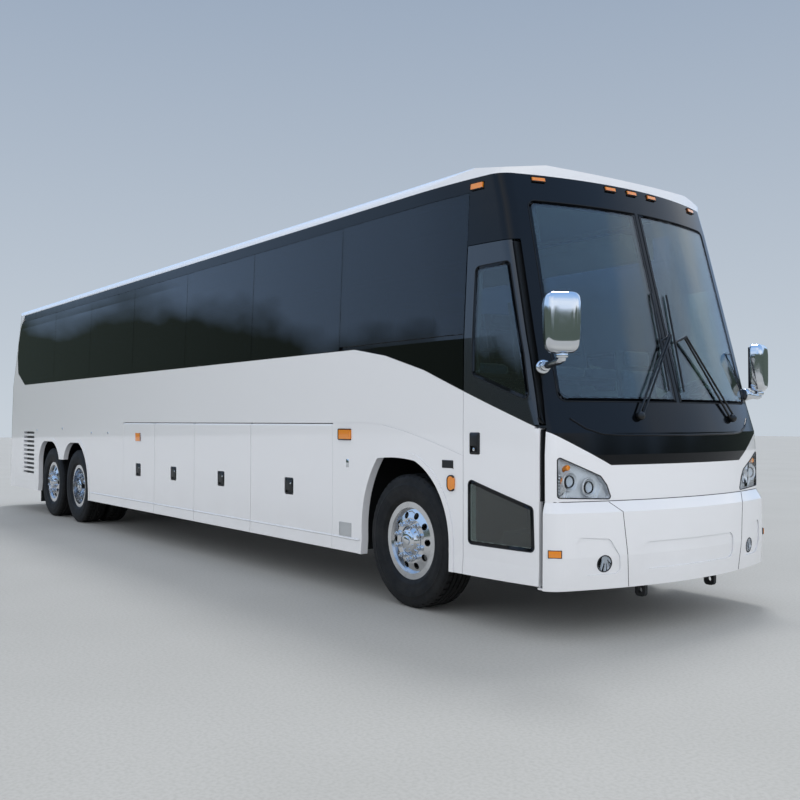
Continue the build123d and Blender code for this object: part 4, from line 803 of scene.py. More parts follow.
class COACH_OT_finishes(bpy.types.Operator):
    """Give every part that shows as it is its real finish"""
    bl_idname = "coach.finishes"
    bl_label = "Finishes"

    def execute(self, context):
        look = context.scene.coach_paint
        slots = {part["node"]: part["material_slot"] for part in frame["record"]["subparts"]}
        for name, piece in frame["nodes"].items():
            for held in piece.material_slots:
                held.material = finish_of(slots[name])
        door = door_enamel("two_colour_door_enamel", look.white, look.black, look.dust, WAIST_FALL,
                           WAIST_AT[1] + WAIST_FALL * WAIST_AT[0])
        frame["nodes"]["door_panel"].material_slots[0].material = door
        for node, finish in (("door_glass", "cab_glass"), ("driver_window", "cab_glass"),
                             ("deck", "cabin_floor"), ("cab_floor", "cabin_floor"),
                             ("entrance_steps", "cabin_floor"),
                             ("parcel_racks", "cabin_lining")):
            frame["nodes"][node].material_slots[0].material = finish_of(finish)
        for axle in AXLES:
            x, _, z = JOINTS[f"{axle}_wheel_right"]["pos_m"]
            metal = spun_aluminium(f"polished_aluminium_{axle}", "#D9DADC", x, z)
            for side, _ in SIDES:
                frame["nodes"][f"wheel_{axle}_{side}"].material_slots[0].material = metal
        return {"FINISHED"}


class COACH_OT_tyres(bpy.types.Operator):
    """Tyres with grooved ribs, notched shoulders and banded sidewalls"""
    bl_idname = "coach.tyres"
    bl_label = "Tyres"

    def execute(self, context):
        tread = context.scene.coach_tread
        for axle in AXLES:
            low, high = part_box(f"tyre_{axle}_right")
            radius = (high.z - low.z) / 2
            x, _, z = JOINTS[f"{axle}_wheel_right"]["pos_m"]
            middles = [low.y + tread.width / 2]
            if high.y - low.y > 1.5 * tread.width:
                middles.append(high.y - tread.width / 2)
            rings = [self.casing(tread, Vector((x, y, z)), radius, axle == "drive")
                     for y in middles]
            right = joined(rings, f"tread_{axle}_right")
            pair = on_both_sides(right, f"{axle}_wheel_right", "tyre", smooth=32)
            for piece, (side, _) in zip(pair, SIDES):
                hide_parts(f"tyre_{axle}_{side}")
        return {"FINISHED"}

    def casing(self, tread, centre, radius, blocks):
        """One tyre: half its outline from the bead to the middle rib, mirrored and spun."""
        half = tread.width / 2
        groove, deep = tread.groove / 2, tread.depth
        outline = [(r, half if y is None else y) for r, y in TYRE_SIDE]
        outline += [(radius - 0.002, 0.115), (radius, 0.106)]
        for middle in GROOVES:
            outline += [(radius, middle + groove), (radius - deep, middle + groove * 0.6),
                        (radius - deep, middle - groove * 0.6), (radius, middle - groove)]
        section = outline + [(r, -y) for r, y in reversed(outline)]
        ring = turned("ring", centre, section, steps=tread.steps)
        turn = 2 * pi / tread.steps

        def at(middle):
            """The number of the facet round the tyre."""
            angle = atan2(middle.x - centre.x, middle.z - centre.z) % (2 * pi)
            return int(round(angle / turn - 0.5))

        def reach(middle):
            """The distance from the axle."""
            return hypot(middle.x - centre.x, middle.z - centre.z)

        with editing(ring):
            inner = BLOCKS_FROM if blocks else RIBS_FROM
            pick_faces(ring, lambda m, n: (reach(m) > radius - TREAD_BAND
                                           and inner < abs(m.y - centre.y) < half
                                           and at(m) % 3 == 0))
            cut_in(deep * NOTCH_SHARE)
            pick_faces(ring, lambda m, n: SHOULDER[0] < reach(m) < SHOULDER[1] and at(m) % 3 == 0)
            cut_in(SHOULDER_NOTCH)
        return ring


class COACH_OT_wheel_trim(bpy.types.Operator):
    """Chrome nuts with their studs, hub covers and valves on the disc wheels"""
    bl_idname = "coach.wheel_trim"
    bl_label = "Wheel trim"

    def execute(self, context):
        trim = context.scene.coach_wheels
        for axle in AXLES:
            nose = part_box(f"wheel_{axle}_right")[0].y
            x, _, z = JOINTS[f"{axle}_wheel_right"]["pos_m"]
            face = nose + trim.hub_nose + (0 if axle == "drive" else -trim.bulge)
            right = self.dress(trim, Vector((x, 0, z)), nose, face, axle)
            on_both_sides(right, f"{axle}_wheel_right", "chrome", smooth=40)
        return {"FINISHED"}

    def dress(self, trim, centre, nose, face, axle):
        """Everything bright on one disc: nuts, hub cover with its bolts, ring and valve."""
        nut = self.nut(trim, centre, face)
        pieces = [copied(nut, "nut", about_axle(centre, 2 * pi * i / trim.nuts))
                  for i in range(trim.nuts)]
        bpy.data.objects.remove(nut)
        out = Vector((centre.x, nose, centre.z))
        pieces.append(turned("cover", out, HUB_COVER, steps=48))
        bolt = barrel("bolt", out + Vector((0, -0.006, HUB_BOLT_CIRCLE)), 0.0065, 0.008, sides=6,
                      edge=0.0012)
        pieces += [copied(bolt, "bolt", about_axle(centre, 2 * pi * (i + 0.5) / HUB_BOLTS))
                   for i in range(HUB_BOLTS)]
        bpy.data.objects.remove(bolt)
        pieces.append(turned("ring", Vector((centre.x, face, centre.z)), DISC_RING, steps=64))
        valve = barrel("valve", Vector((centre.x, face + 0.004, centre.z + VALVE_CIRCLE)), 0.005,
                       0.05, sides=10, edge=0.001)
        pieces.append(valve)
        return joined(pieces, f"wheel_trim_{axle}_right")

    def nut(self, trim, centre, face):
        """A hexagon nut on its flange, with the rounded stud end that stands out of it."""
        x, z = centre.x, centre.z + trim.nut_circle
        flange = barrel("flange", Vector((x, face - 0.003, z)), trim.nut * 1.28, 0.008, sides=24,
                        edge=0.002)
        hexagon = barrel("hexagon", Vector((x, face - trim.nut_length / 2 - 0.006, z)),
                         trim.nut, trim.nut_length, sides=6, edge=0.0025)
        stud = barrel("stud", Vector((x, face - trim.nut_length - 0.012, z)), trim.nut * 0.62,
                      0.016, sides=20, edge=0.004)
        return joined([flange, hexagon, stud], "nut")


class COACH_OT_headlamps(bpy.types.Operator):
    """Headlamps and fog lamps: clear covers over silvered bowls, bulbs and their black seals"""
    bl_idname = "coach.headlamps"
    bl_label = "Lamps at the front"

    def execute(self, context):
        lamps = context.scene.coach_lamps
        covers, trays, seals = self.split_blocks(lamps)
        beams = [self.beam(ON_AXLE + Vector(beam), lamps.beam_radius)
                 for beam in (lamps.low_beam, lamps.high_beam)]
        chrome, dark, clear = (list(kind) for kind in zip(*beams))
        ahead = ON_AXLE + Vector(lamps.fog) + Vector((9, 0, 0))
        place = on_skin(("front_lamps",), ahead, (-1, 0, 0))[0] - Vector((lamps.fog_depth, 0, 0))
        bowl, ring, lens = self.beam(place, lamps.fog_radius * 0.93)
        bpy.data.objects.remove(ring)
        chrome.append(bowl)
        clear.append(lens)
        amber = [barrel("bulb", ON_AXLE + Vector(lamps.indicator), 0.020, 0.05, axis="X",
                        edge=0.009)]
        for index in range(RIB_COUNT):
            low, high = (ON_AXLE + Vector(corner) + index * Vector(RIB_STEP) for corner in RIB)
            chrome.append(block("rib", low, high, 0.002))
        kinds = (("bowls", chrome, "chrome", "lamp_silver"), ("rings", dark, "black_metal", None),
                 ("bulbs", clear, "lamp_glass", None), ("indicators", amber, "amber_lens", None))
        for kind, pieces, slot, finish in kinds:
            on_both_sides(joined(pieces, f"lamp_{kind}_right"), "coach", slot, finish, smooth=45)
        hand_over(covers, "coach", "lamp_glass", smooth=30)
        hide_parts("front_lamps")
        hand_over(trays, "coach", "chrome", "lamp_silver", smooth=30)
        hand_over(seals, "coach", "black_metal", "seal_rubber", smooth=60)
        return {"FINISHED"}

    def split_blocks(self, lamps):
        """The lamp blocks' front skins become covers, their other faces and a floor the trays."""
        covers = from_node("front_lamps", "lamp_covers")
        trays = copied(covers, "lamp_trays", Matrix.Identity(4))

        def front(middle, normal):
            """A face that looks ahead, however slanted."""
            return normal.x > 0.45

        with editing(covers):
            drop_faces(covers, lambda m, n: not front(m, n))
        with editing(trays):
            drop_faces(trays, front)
            bpy.ops.mesh.flip_normals()
        seals = copied(covers, "lamp_seals", Matrix.Identity(4))
        keep_outline(seals)
        as_tube(seals, lamps.seal)
        mirror = copied(covers, "reflectors", Matrix.Identity(4))
        with editing(mirror):
            bpy.ops.transform.shrink_fatten(value=-lamps.reflector)
        trays = joined([trays, mirror], "lamp_trays")
        modify(covers, "SOLIDIFY", thickness=lamps.cover, offset=-1)
        modify(trays, "SOLIDIFY", thickness=0.002, offset=-1)
        return covers, trays, seals

    def beam(self, place, radius):
        """A bowl that opens forwards, the dark ring of its projector and the lens in it."""
        bowl = turned("bowl", (0, 0, 0), [(r * radius, -x) for r, x in BOWL], steps=48)
        ring = turned("ring", (0, 0, 0), [(r * radius, x) for r, x in PROJECTOR], steps=40)
        lens = turned("lens", (0, 0, 0), [(r * radius, x) for r, x in BULB_LENS], steps=40)
        forwards = Matrix.Translation(place) @ Matrix.Rotation(pi / 2, 4, "Z")
        for piece in (bowl, ring, lens):
            piece.data.transform(forwards)
        return bowl, ring, lens


class COACH_OT_side_trim(bpy.types.Operator):
    """Door handle, luggage latches, locks, blank plate and the lenses on the luggage doors"""
    bl_idname = "coach.side_trim"
    bl_label = "Side trim"

    def execute(self, context):
        trim = context.scene.coach_trim
        self.latches(trim)
        self.locks(trim)
        self.door_handle(trim)
        self.door_lenses(trim)
        return {"FINISHED"}

    def latches(self, trim):
        """A black tray, paddle and lock in the pocket at the middle of each luggage door."""
        for number in range(1, 5):
            low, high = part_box(f"bay_door_right_{number}")
            x, z = (low.x + high.x) / 2, trim.latch_z
            half = -trim.half_width
            w, h = trim.latch[0] / 2, trim.latch[1] / 2
            tray = block("tray", (x - w, half + 0.004, z - h),
                         (x + w, half + 0.024, z + h), 0.010, 3)
            sink(tray, outwards, 0.010, push=(0, 0.012, 0))
            paddle = block("paddle", (x - w * 0.70, half + 0.001, z - h * 0.55),
                           (x + w * 0.70, half + 0.014, z + h * 0.72), 0.006, 3)
            with editing(paddle):
                pick_faces(paddle, lambda m, n: n.z < -FACING)
                bpy.ops.transform.translate(value=(0, 0.006, 0))
            right = joined([tray, paddle], f"latch_right_{number}")
            lock = barrel(f"latch_lock_right_{number}", (x + w * 0.35, half, z + h * 0.35),
                          0.011, 0.004, sides=24, edge=0.001)
            for piece, slot in ((right, "black_metal"), (lock, "chrome")):
                on_both_sides(piece, f"bay_door_right_{number}", slot)

    def locks(self, trim):
        """Round locks behind the luggage doors; oblong lock, plate and catch by the front arch."""
        half = -trim.half_width

        def raised(name, x0, x1, z0, z1, out, back, edge, segments=3):
            """A block that stands out of the skin, its ends given from the front axle."""
            return block(name, (FRONT_AXLE_X + x0, half - out, z0),
                         (FRONT_AXLE_X + x1, half + back, z1), edge, segments)

        pieces = [turned("lock", (FRONT_AXLE_X + x, half, z), LOCK_RIM, steps=28) for x, z in LOCKS]
        pieces.append(raised("plug", -0.822, -0.782, 1.085, 1.155, 0.003, 0.002, 0.002, 2))
        on_both_sides(joined(pieces, "panel_locks_right"), "coach", "chrome")
        plate = raised("blank_plate_right", -0.93, -0.74, 0.49, 0.61, 0.004, 0.003, 0.006)
        sink(plate, outwards, 0.010, -0.002)
        hand_over(plate, "coach", "step_plastic", "plain_grey")
        catch = raised("fuel_flap_catch_right", 0.49, 0.62, 1.13, 1.19, 0.003, 0.003, 0.004)
        sink(catch, outwards, 0.006, 0.002)
        hand_over(catch, "coach", "black_metal")

    def door_handle(self, trim):
        """A black tray with a paddle and lock by the rear edge of the entrance door."""
        x0, x1, z0, z1 = (FRONT_AXLE_X + 0.800, FRONT_AXLE_X + 0.910, 1.240, 1.400)
        half = -trim.half_width
        tray = block("tray", (x0, half - 0.003, z0), (x1, half + 0.020, z1), 0.012, 3)
        sink(tray, outwards, 0.012, push=(0, 0.016, 0))
        paddle = block("paddle", (x0 + 0.018, half - 0.006, z0 + 0.060),
                       (x1 - 0.018, half + 0.006, z1 - 0.018), 0.005, 3)
        handle = joined([tray, paddle], "door_handle")
        hand_over(handle, "entrance_door", "black_metal")
        lock = barrel("door_lock", ((x0 + x1) / 2, half - 0.002, z0 + 0.036), 0.012, 0.008,
                      sides=28, edge=0.0015)
        hand_over(lock, "entrance_door", "chrome")

    def door_lenses(self, trim):
        """Amber covers over the lens pads of the rearmost luggage doors."""
        half = trim.half_width
        x, z, w, h = FRONT_AXLE_X - 5.574, 1.281, 0.150, 0.100
        lens = block("door_lens_right", (x - w / 2, -half - 0.0122, z - h / 2),
                     (x + w / 2, -half + 0.002, z + h / 2), 0.0)
        sink(lens, outwards, 0.012, 0.0004)
        on_both_sides(lens, "bay_door_right_4", "amber_lens")


class COACH_OT_seals(bpy.types.Operator):
    """Seal in the entrance door's front gap, beads round panes and markers, panes' borders"""
    bl_idname = "coach.seals"
    bl_label = "Seals"

    def execute(self, context):
        rubber = context.scene.coach_seals
        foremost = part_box("door_panel")[1].x
        seal = from_node("door_panel", "entrance_door_seal")
        with editing(seal):
            drop_faces(seal, lambda m, n: not (n.x > 0.8 and m.x > foremost - 0.40))
            bpy.ops.mesh.dissolve_limited(angle_limit=radians(1))
            bpy.ops.mesh.inset(thickness=rubber.set_in, depth=0)
            select_all("INVERT")
            bpy.ops.mesh.delete(type="FACE")
            select_all()
            draw_out((rubber.reach, 0, 0))
            select_all()
            bpy.ops.mesh.normals_make_consistent(inside=False)
        # beside the bumper the seal stays on it, as it would rub there when the door opens
        foot = copied(seal, "bumper_end_seal", Matrix.Translation((rubber.stand_off, 0, 0)))
        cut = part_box("bumper_corners")[1].z + rubber.clear
        for part, upper in ((seal, True), (foot, False)):
            with editing(part):
                bpy.ops.mesh.bisect(plane_co=(0, 0, cut), plane_no=(0, 0, 1), use_fill=True,
                                    clear_inner=upper, clear_outer=not upper)
        hand_over(seal, "entrance_door", "black_metal", "seal_rubber")
        hand_over(foot, "coach", "black_metal", "seal_rubber")
        for node, body, facing in (("windscreen", "coach", lambda m, n: n.x > 0.5),
                                   ("door_glass", "entrance_door", lambda m, n: n.y < -0.5),
                                   ("driver_window", "coach", lambda m, n: n.y > 0.5),
                                   ("rear_window", "coach", lambda m, n: n.x < -0.5)):
            self.bead(rubber, node, body, facing)
            self.border(rubber, node, body, facing)
        self.bead(rubber, "marker_lamps", "coach", lambda m, n: abs(n.y) > 0.8 or n.x > 0.75)
        return {"FINISHED"}

    def border(self, rubber, node, body, facing):
        """The black baked border inside the edge of a pane."""
        piece = from_node(node, f"{node}_border")
        with editing(piece):
            drop_faces(piece, lambda m, n: not facing(m, n))
            bpy.ops.mesh.inset(thickness=rubber.border, depth=0)
            bpy.ops.mesh.delete(type="FACE")
            select_all()
            bpy.ops.transform.shrink_fatten(value=0.0006)
        modify(piece, "SOLIDIFY", thickness=0.0008, offset=1)
        hand_over(piece, body, "black_gloss", smooth=60)

    def bead(self, rubber, node, body, facing):
        """A round bead along the outer edge of a pane."""
        piece = from_node(node, f"{node}_bead")
        with editing(piece):
            drop_faces(piece, lambda m, n: not facing(m, n))
        keep_outline(piece)
        piece = as_tube(piece, rubber.bead)
        hand_over(piece, body, "black_metal", "seal_rubber", smooth=60)


class COACH_OT_panel_lines(bpy.types.Operator):
    """Joints in the front bumper, a painted shadow line along its top ledge, the ridge across the mask, rub rails
    and bumper markers
    """
    bl_idname = "coach.panel_lines"
    bl_label = "Panel lines"

    def execute(self, context):
        lines = context.scene.coach_lines
        front = ("bumper_centre", "bumper_corners", "front_panel")
        joints = []
        for sign in (RIGHT, LEFT):
            run = [(0, sign * y, z) for y, z in BUMPER_SEAM]
            joints.append(laid_line("joint", front, run, (1, 0, 0), lines.joint))
        # not a joint: a dark rubber line painted as the shadow that the front panel's crease casts on the bumper's
        # top ledge
        ledge_shadow = [(0, sign * BUMPER_LEDGE_SHADOW[0], BUMPER_LEDGE_SHADOW[1]) for sign in (RIGHT, LEFT)]
        joints.append(laid_line("joint", front, ledge_shadow, (1, 0, 0), lines.joint, lift=0.001))
        hand_over(joined(joints, "bumper_joints"), "coach", "black_metal", "seal_rubber", smooth=60)
        run = [(0, -y, z) for y, z in MASK_CREST] + [(0, y, z) for y, z in MASK_CREST[-2::-1]]
        ridge = laid_line("mask_ridge", ("front_mask",), run, (1, 0, 0), lines.ridge)
        hand_over(ridge, "coach", "black_gloss", smooth=60)
        self.rub_rails(lines)
        self.bumper_markers(lines)
        return {"FINISHED"}

    def rub_rails(self, lines):
        """The raised bead along the foot of the luggage doors and the panels beside them."""
        x0, x1 = (FRONT_AXLE_X + x for x in RAIL_ENDS)
        runs = [(f"bay_door_right_{number}",
                 *(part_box(f"bay_door_right_{number}")[i].x for i in (0, 1)))
                for number in range(1, 5)]
        bays = sorted((low, high) for _, low, high in runs)
        runs += [("quarter_panels", x0, bays[0][0]), ("quarter_panels", bays[-1][1], x1)]
        for number, (node, low, high) in enumerate(runs, 1):
            places = [(low + 0.004, 0, lines.rail_z), (high - 0.004, 0, lines.rail_z)]
            right = laid_line(f"rub_rail_right_{number}", (node,), places, (0, -1, 0), lines.rail,
                              lift=-0.002, pitch=0.4)
            on_both_sides(right, node if node.startswith("bay") else "coach", "white_paint",
                          smooth=60)

    def bumper_markers(self, lines):
        """A small amber lamp in its dark frame on each outer corner of the bumper."""
        outside = ON_AXLE + Vector(MARKER_AT) + Vector((9, -9, 0))
        point, normal = on_skin(("bumper_corners",), outside, (-1, 1, 0))
        normal.z = 0
        turn = Matrix.Translation(point) @ normal.to_track_quat("Y", "Z").to_matrix().to_4x4()
        w, h = lines.marker[0] / 2, lines.marker[1] / 2
        rim = block("bumper_marker_rim_right", (-w - 0.005, -0.010, -h - 0.005),
                    (w + 0.005, 0.002, h + 0.005), 0.003, 2)
        lens = block("bumper_marker_right", (-w, -0.008, -h), (w, 0.007, h), 0.003, 3)
        for piece, slot, finish in ((rim, "black_metal", "seal_rubber"),
                                    (lens, "amber_lens", None)):
            piece.data.transform(turn)
            on_both_sides(piece, "coach", slot, finish)


class COACH_OT_seats(bpy.types.Operator):
    """Padded seats in pairs on their pedestals, and the driver's seat"""
    bl_idname = "coach.seats"
    bl_label = "Seats"

    def execute(self, context):
        plan = context.scene.coach_seats
        origin = Vector((FRONT_AXLE_X + plan.first, -(plan.aisle + plan.width + 0.015), plan.floor))
        pads = self.pair_of_pads(plan)
        shell = self.pair_of_shells(plan)
        stand_in = None
        for row in range(plan.rows):
            at = Matrix.Translation(origin - Vector((row * plan.pitch, 0, 0)))
            for side, sign in SIDES:
                turn = at if sign == RIGHT else MIRROR_Y @ at
                pad = copied(pads, f"seat_pads_{side}_{row + 1:02d}", turn)
                hand_over(pad, "coach", "seat_cloth", smooth=60)
                hand_over(copied(shell, f"seat_shells_{side}_{row + 1:02d}", turn), "coach",
                          "step_plastic", "seat_shell")
                stand_in = stand_in or pad
        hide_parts("seats")
        for piece in (pads, shell):
            bpy.data.objects.remove(piece)
        self.driver_seat(plan)
        return {"FINISHED"}

    def filled(self, piece, plan):
        """A pad's block as a filled cushion: remeshed, blown up as cloth, held within the swell."""
        modify(piece, "REMESH", mode="VOXEL", voxel_size=plan.voxel)
        modify(piece, "SMOOTH", factor=0.5, iterations=2)
        rest = [vertex.co.copy() for vertex in piece.data.vertices]
        only(piece)
        cloth = piece.modifiers.new("Cloth", "CLOTH")
        cloth.settings.use_pressure = True
        cloth.settings.uniform_pressure_force = CLOTH_PRESSURE
        cloth.settings.effector_weights.gravity = 0
        for number in range(1, CLOTH_FRAMES + 1):
            bpy.context.scene.frame_set(number)
        bpy.ops.object.modifier_apply(modifier=cloth.name)
        for vertex, start in zip(piece.data.vertices, rest):
            step = vertex.co - start
            if step.length > plan.swell:
                vertex.co = start + step * (plan.swell / step.length)
        bpy.context.scene.frame_set(1)
        modify(piece, "SMOOTH", factor=0.5, iterations=3)
        return piece

    def sewn(self, piece, normal, seam, deep):
        """Sewn channels: what faces along normal is drawn in at seam, on both sides."""
        for vertex in piece.data.vertices:
            if vertex.normal.dot(normal) > 0.6:
                off = min(abs(vertex.co.y - line) for line in (-seam, seam))
                vertex.co -= normal * deep * max(0.0, 1 - off / SEAM_HALF)

    def padding(self, plan, name, table, w, seam, deep, lean):
        """A filled cushion, and a back and a headrest that lean."""
        pieces = []
        for kind, rear, front, foot, top, less, edge in table:
            low, high = (rear, less - w, foot), (front, w - less, top)
            pad = self.filled(block(kind, low, high, edge, 3), plan)
            if kind != "head":
                self.sewn(pad, Vector((0, 0, 1) if kind == "cushion" else (1, 0, 0)), seam, deep)
            if kind != "cushion":
                pad.data.transform(lean)
            pieces.append(pad)
        return joined(pieces, name)

    def pair_of_pads(self, plan):
        """Two cushions, backs and headrests, about the middle of the base's front edge."""
        one = self.padding(plan, "one", PASSENGER_PADS, plan.width / 2 - 0.012, 0.13, 0.009,
                           SEAT_LEAN)
        shift = plan.width / 2 + 0.003
        pair = [copied(one, "pads", Matrix.Translation((0, sign * shift, 0))) for sign in (-1, 1)]
        bpy.data.objects.remove(one)
        return joined(pair, "pads")

    def pair_of_shells(self, plan):
        """The pair's pedestal, seat pans, moulded back shells and armrests."""
        wide = plan.width + 0.006
        pieces = [block("leg", (-0.300, 0.050, 0.0), (-0.040, 0.110, 0.300), 0.012, 2),
                  block("foot", (-0.330, 0.030, 0.0), (-0.005, 0.130, 0.014), 0.005, 2),
                  block("bracket", (-0.300, -wide + 0.012, 0.240), (-0.060, -wide + 0.050, 0.320),
                        0.010, 2),
                  block("beam", (-0.090, -wide + 0.020, 0.285), (-0.050, wide - 0.020, 0.330),
                        0.008, 2),
                  block("beam", (-0.310, -wide + 0.020, 0.285), (-0.270, wide - 0.020, 0.330),
                        0.008, 2)]
        for sign in (-1, 1):
            middle = sign * (plan.width / 2 + 0.003)
            half = plan.width / 2 - 0.006
            pan = block("pan", (-0.430, middle - half, 0.326),
                        (0.026, middle + half, 0.352), 0.012, 3)
            shell = block("shell", (-0.075, middle - half, -0.080), (-0.045, middle + half, 0.648),
                          0.014, 3)
            sink(shell, backwards, 0.035, push=(0.010, 0, 0))
            shell.data.transform(SEAT_LEAN)
            pieces += [pan, shell]
        for y in (-wide + 0.022, 0.0, wide - 0.022):
            arm = block("arm", (-0.400, y - 0.022, 0.560), (-0.090, y + 0.022, 0.590), 0.012, 3)
            stay = block("stay", (-0.420, y - 0.014, 0.400), (-0.380, y + 0.014, 0.580), 0.008, 2)
            pieces += [arm, stay]
        return joined(pieces, "shell")

    def driver_seat(self, plan):
        """A high-backed driver's seat on its bellows."""
        at = Matrix.Translation((FRONT_AXLE_X + plan.driver[0], plan.driver[1], plan.cab_floor))
        w = 0.225
        pads = self.padding(plan, "driver_seat_pads", DRIVER_PADS, w, 0.14, 0.010, DRIVER_LEAN)
        pads.data.transform(at)
        hand_over(pads, "coach", "seat_cloth", smooth=60)
        bellows = turned("bellows", (0, 0, 0), [(radius, -up) for radius, up in BELLOWS], steps=32)
        bellows.data.transform(Matrix.Translation((-0.125, 0, 0))
                               @ Matrix.Rotation(-pi / 2, 4, "X"))
        pan = block("pan", (-0.340, -w, 0.266), (0.036, w, 0.318), 0.014, 3)
        shell = block("shell", (-0.066, -w, -0.085), (-0.040, w, 0.590), 0.013, 3)
        shell.data.transform(DRIVER_LEAN)
        base = joined([bellows, pan, shell], "driver_seat_frame")
        base.data.transform(at)
        hand_over(base, "coach", "step_plastic", "seat_shell")


class COACH_OT_mirrors(bpy.types.Operator):
    """Chrome mirror heads on their arms, with the silvered glass and its black rim behind"""
    bl_idname = "coach.mirrors"
    bl_label = "Mirrors"

    def execute(self, context):
        heads = context.scene.coach_mirrors
        shells = []
        rows = ((heads.right, heads.right_yaw, heads.right_root),
                (heads.left, heads.left_yaw, heads.left_root))
        for (side, _), (place, yaw, root) in zip(SIDES, rows):
            turn = Matrix.Translation(place) @ Matrix.Rotation(yaw, 4, "Z")
            shells.append(self.head(heads, turn))
            shells += self.arm(heads, Vector(root), Vector(place))
            self.glass(heads, turn, side)
        chrome = joined(shells, "mirror_heads")
        hand_over(chrome, "coach", "chrome", smooth=50)
        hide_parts("mirrors")
        return {"FINISHED"}

    def head(self, heads, turn):
        """A cube cut fine and drawn out to a rounded head: full and convex before, flat behind."""
        w, h, d = heads.size
        deselect()
        bpy.ops.mesh.primitive_cube_add(size=2)
        piece = settled("head")
        with editing(piece):
            bpy.ops.mesh.subdivide(number_cuts=15)
        for vertex in piece.data.vertices:
            x, y, z = vertex.co
            power = heads.front_power if x > 0 else heads.back_power
            reach = (abs(x) ** power + abs(y) ** heads.side_power + abs(z) ** heads.side_power)
            x, y, z = (c / reach ** (1 / heads.side_power) for c in (x, y, z))
            vertex.co = (x * d / 2, y * w / 2 * (1 + 0.06 * z) / 1.06, z * h / 2)
        piece.data.transform(turn)
        return piece

    def arm(self, heads, root, place):
        """A bent tube from its foot on the pillar to a clamp under the head."""
        h = heads.size[1]
        elbow = place - Vector((0, 0, h / 2 + 0.040))
        bends = [root, root.lerp(elbow, 0.5), root.lerp(elbow, 0.93),
                 elbow + Vector((0, 0, 0.004)), place - Vector((0, 0, h / 2 - 0.02))]
        tube = strung("arm", bends, heads.arm)
        clamp = barrel("clamp", elbow + Vector((0, 0, 0.026)), heads.arm * 1.5, 0.030, axis="Z",
                       sides=32, edge=0.006)
        way = (elbow - root).normalized()
        along = way.to_track_quat("Z", "Y").to_matrix().to_4x4()
        pieces = [tube, clamp]
        for name, girth, length, edge, off in (("foot", 1.9, 0.05, 0.012, 0.02),
                                               ("collar", 1.35, 0.045, 0.006, 0.085)):
            piece = barrel(name, (0, 0, 0), heads.arm * girth, length, axis="Z", sides=32,
                           edge=edge)
            piece.data.transform(Matrix.Translation(root + way * off) @ along)
            pieces.append(piece)
        return pieces

    def glass(self, heads, turn, side):
        """The silvered glass in its rim."""
        w, h, d = heads.size
        rim = block("rim", (-d / 2 - 0.003, -w / 2 + 0.026, -h / 2 + 0.028),
                    (-d / 2 + 0.020, w / 2 - 0.026, h / 2 - 0.028), 0.008, 2)
        sink(rim, backwards, 0.006, -0.003)
        glass = block("glass", (-d / 2 - 0.0015, -w / 2 + 0.034, -h / 2 + 0.036),
                      (-d / 2 + 0.006, w / 2 - 0.034, h / 2 - 0.036), 0.002)
        for piece in (rim, glass):
            piece.data.transform(turn)
        rim.name, glass.name = f"mirror_rim_{side}", f"mirror_glass_{side}"
        hand_over(rim, "coach", "black_metal", "seal_rubber")
        hand_over(glass, "coach", "chrome", "silvered_glass")


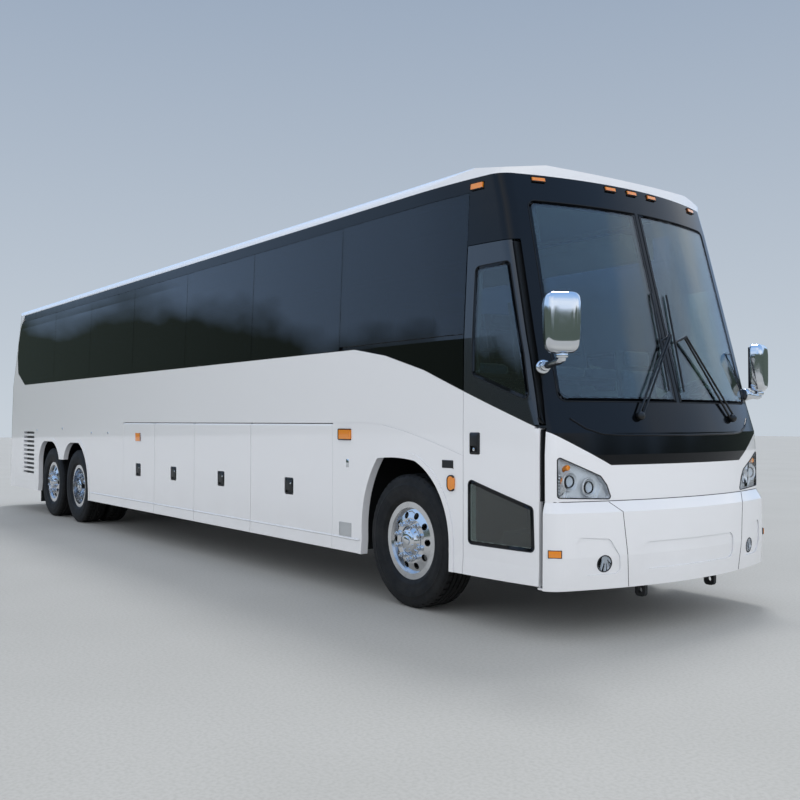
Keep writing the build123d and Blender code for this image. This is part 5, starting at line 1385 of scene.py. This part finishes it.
class COACH_OT_stage(bpy.types.Operator):
    """Floor, light from all round, lamps and the camera"""
    bl_idname = "coach.stage"
    bl_label = "Stage"

    def execute(self, context):
        stage = context.scene.coach_stage
        self.lay_floor(stage)
        self.light_room(context, stage)
        deselect()
        bpy.ops.object.camera_add(location=stage.eye, rotation=stage.aim)
        camera = context.object
        camera.name = "camera"
        camera.data.lens = stage.lens
        camera.data.sensor_width = 36
        camera.data.clip_end = 400
        context.scene.camera = camera
        context.scene.view_settings.view_transform = "Standard"
        return {"FINISHED"}

    def lay_floor(self, stage):
        """A wide pale floor that takes the coach's shadow."""
        deselect()
        bpy.ops.mesh.primitive_plane_add(size=160, location=(0, 0, 0))
        floor = settled("floor")
        material, tree, shader = surface("brushed_concrete", Roughness=0.8, Specular_IOR_Level=0.25)
        where = on_object(tree)
        cloud = noise(tree, where, 1.6, 5)
        grit = noise(tree, where, 0.02, 2)
        pale = paint(stage.floor)
        tone = blend(tree, spread(tree, cloud, 0, 0.35, 0.35, 0.75), pale, paint(FLOOR_CLOUD))
        speckled = blend(tree, spread(tree, grit, 0, 0.25, 0.4, 0.7), tone, paint(FLOOR_GRIT))
        feed(tree, shader, Base_Color=speckled)
        floor.data.materials.append(material)

    def light_room(self, context, stage):
        """One sky for the eye, one for gloss, plain light for the rest; and two lamps."""
        world = bpy.data.worlds.new("studio")
        context.scene.world = world
        world.use_nodes = True
        tree = world.node_tree
        tree.nodes.clear()
        way = add(tree, "ShaderNodeTexCoord").outputs["Generated"]
        height = add(tree, "ShaderNodeSeparateXYZ", Vector=way).outputs["Z"]
        share = spread(tree, height, 0.0, 0.9, 0.0, 0.75)
        seen = blend(tree, share, paint(stage.horizon), paint(stage.zenith))
        path = add(tree, "ShaderNodeLightPath").outputs
        looked = reckon(tree, "MAXIMUM", path["Is Camera Ray"], path["Is Transmission Ray"])
        back = add(tree, "ShaderNodeBackground", Color=seen, Strength=1.0)
        room = add(tree, "ShaderNodeBackground", Color=paint(ROOM))
        feed(tree, room, Strength=spread(tree, height, stage.room, stage.room * 0.5, 0.0, 0.8))
        mix = add(tree, "ShaderNodeMixShader", i0=looked, i1=room.outputs[0], i2=back.outputs[0])
        cloud = spread(tree, noise(tree, way, 0.6, 5), 0.0, 0.75, 0.5, 0.72)
        sky = blend(tree, spread(tree, height, 0.0, 0.7, 0.0, 1.0), paint(SKY_LOW), paint(SKY_HIGH))
        sky = blend(tree, cloud, sky, paint(CLOUD))
        ragged = reckon(tree, "MULTIPLY_ADD", noise(tree, way, 0.12, 4), -0.16, height)
        round_about = blend(tree, spread(tree, ragged, 0.0, 1.0, 0.03, 0.07), paint(SKYLINE), sky)
        gloss = add(tree, "ShaderNodeBackground", Color=round_about, Strength=stage.gloss)
        mix = add(tree, "ShaderNodeMixShader", i0=path["Is Glossy Ray"], i1=mix.outputs[0],
                  i2=gloss.outputs[0])
        output = add(tree, "ShaderNodeOutputWorld")
        tree.links.new(mix.outputs[0], output.inputs["Surface"])
        sun = self.lamp("high_lamp", "SUN", (-6, 6, 12), (0.35, -0.42, -1), stage.sun)
        sun.data.angle = radians(14)
        fill = self.lamp("front_fill", "AREA", (13.0, -2.5, 4.5), (-6.5, 2.0, -3.0), stage.fill)
        fill.data.size = 5.0
        fill.visible_glossy = False

    def lamp(self, name, kind, place, way, energy):
        """One lamp that looks along way."""
        deselect()
        bpy.ops.object.light_add(type=kind, location=place)
        lamp = bpy.context.object
        lamp.name = name
        lamp.data.energy = energy
        lamp.rotation_euler = Vector(way).to_track_quat("-Z", "Y").to_euler()
        return lamp


class COACH_PT_sidebar(bpy.types.Panel):
    """The coach's operators and settings"""
    bl_label = "Coach"
    bl_idname = "COACH_PT_sidebar"
    bl_space_type = "VIEW_3D"
    bl_region_type = "UI"
    bl_category = "Coach"

    def draw(self, context):
        for operator in OPERATORS:
            self.layout.operator(operator.bl_idname)
        for group, name in GROUPS.items():
            settings = getattr(context.scene, name)
            for field in group.__annotations__:
                self.layout.prop(settings, field)


GROUPS = {CoachPaint: "coach_paint", CoachTread: "coach_tread", CoachWheels: "coach_wheels",
          CoachLamps: "coach_lamps", CoachTrim: "coach_trim", CoachSeals: "coach_seals",
          CoachLines: "coach_lines", CoachSeats: "coach_seats", CoachMirrors: "coach_mirrors",
          CoachStage: "coach_stage"}
OPERATORS = (COACH_OT_finishes, COACH_OT_tyres, COACH_OT_wheel_trim, COACH_OT_headlamps,
             COACH_OT_side_trim, COACH_OT_seals, COACH_OT_panel_lines, COACH_OT_seats,
             COACH_OT_mirrors, COACH_OT_stage)


def register():
    """Add the classes and hang the settings on the scene."""
    for cls in (*GROUPS, *OPERATORS, COACH_PT_sidebar):
        bpy.utils.register_class(cls)
    for group, name in GROUPS.items():
        setattr(bpy.types.Scene, name, PointerProperty(type=group))


def unregister():
    """Take the settings and the classes away again."""
    for name in GROUPS.values():
        delattr(bpy.types.Scene, name)
    for cls in reversed((*GROUPS, *OPERATORS, COACH_PT_sidebar)):
        bpy.utils.unregister_class(cls)


def main():
    """Dress the coach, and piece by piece."""
    register()
    for operator in OPERATORS:
        group, name = operator.bl_idname.split(".")
        getattr(getattr(bpy.ops, group), name)()


if __name__ == "__main__":
    main()
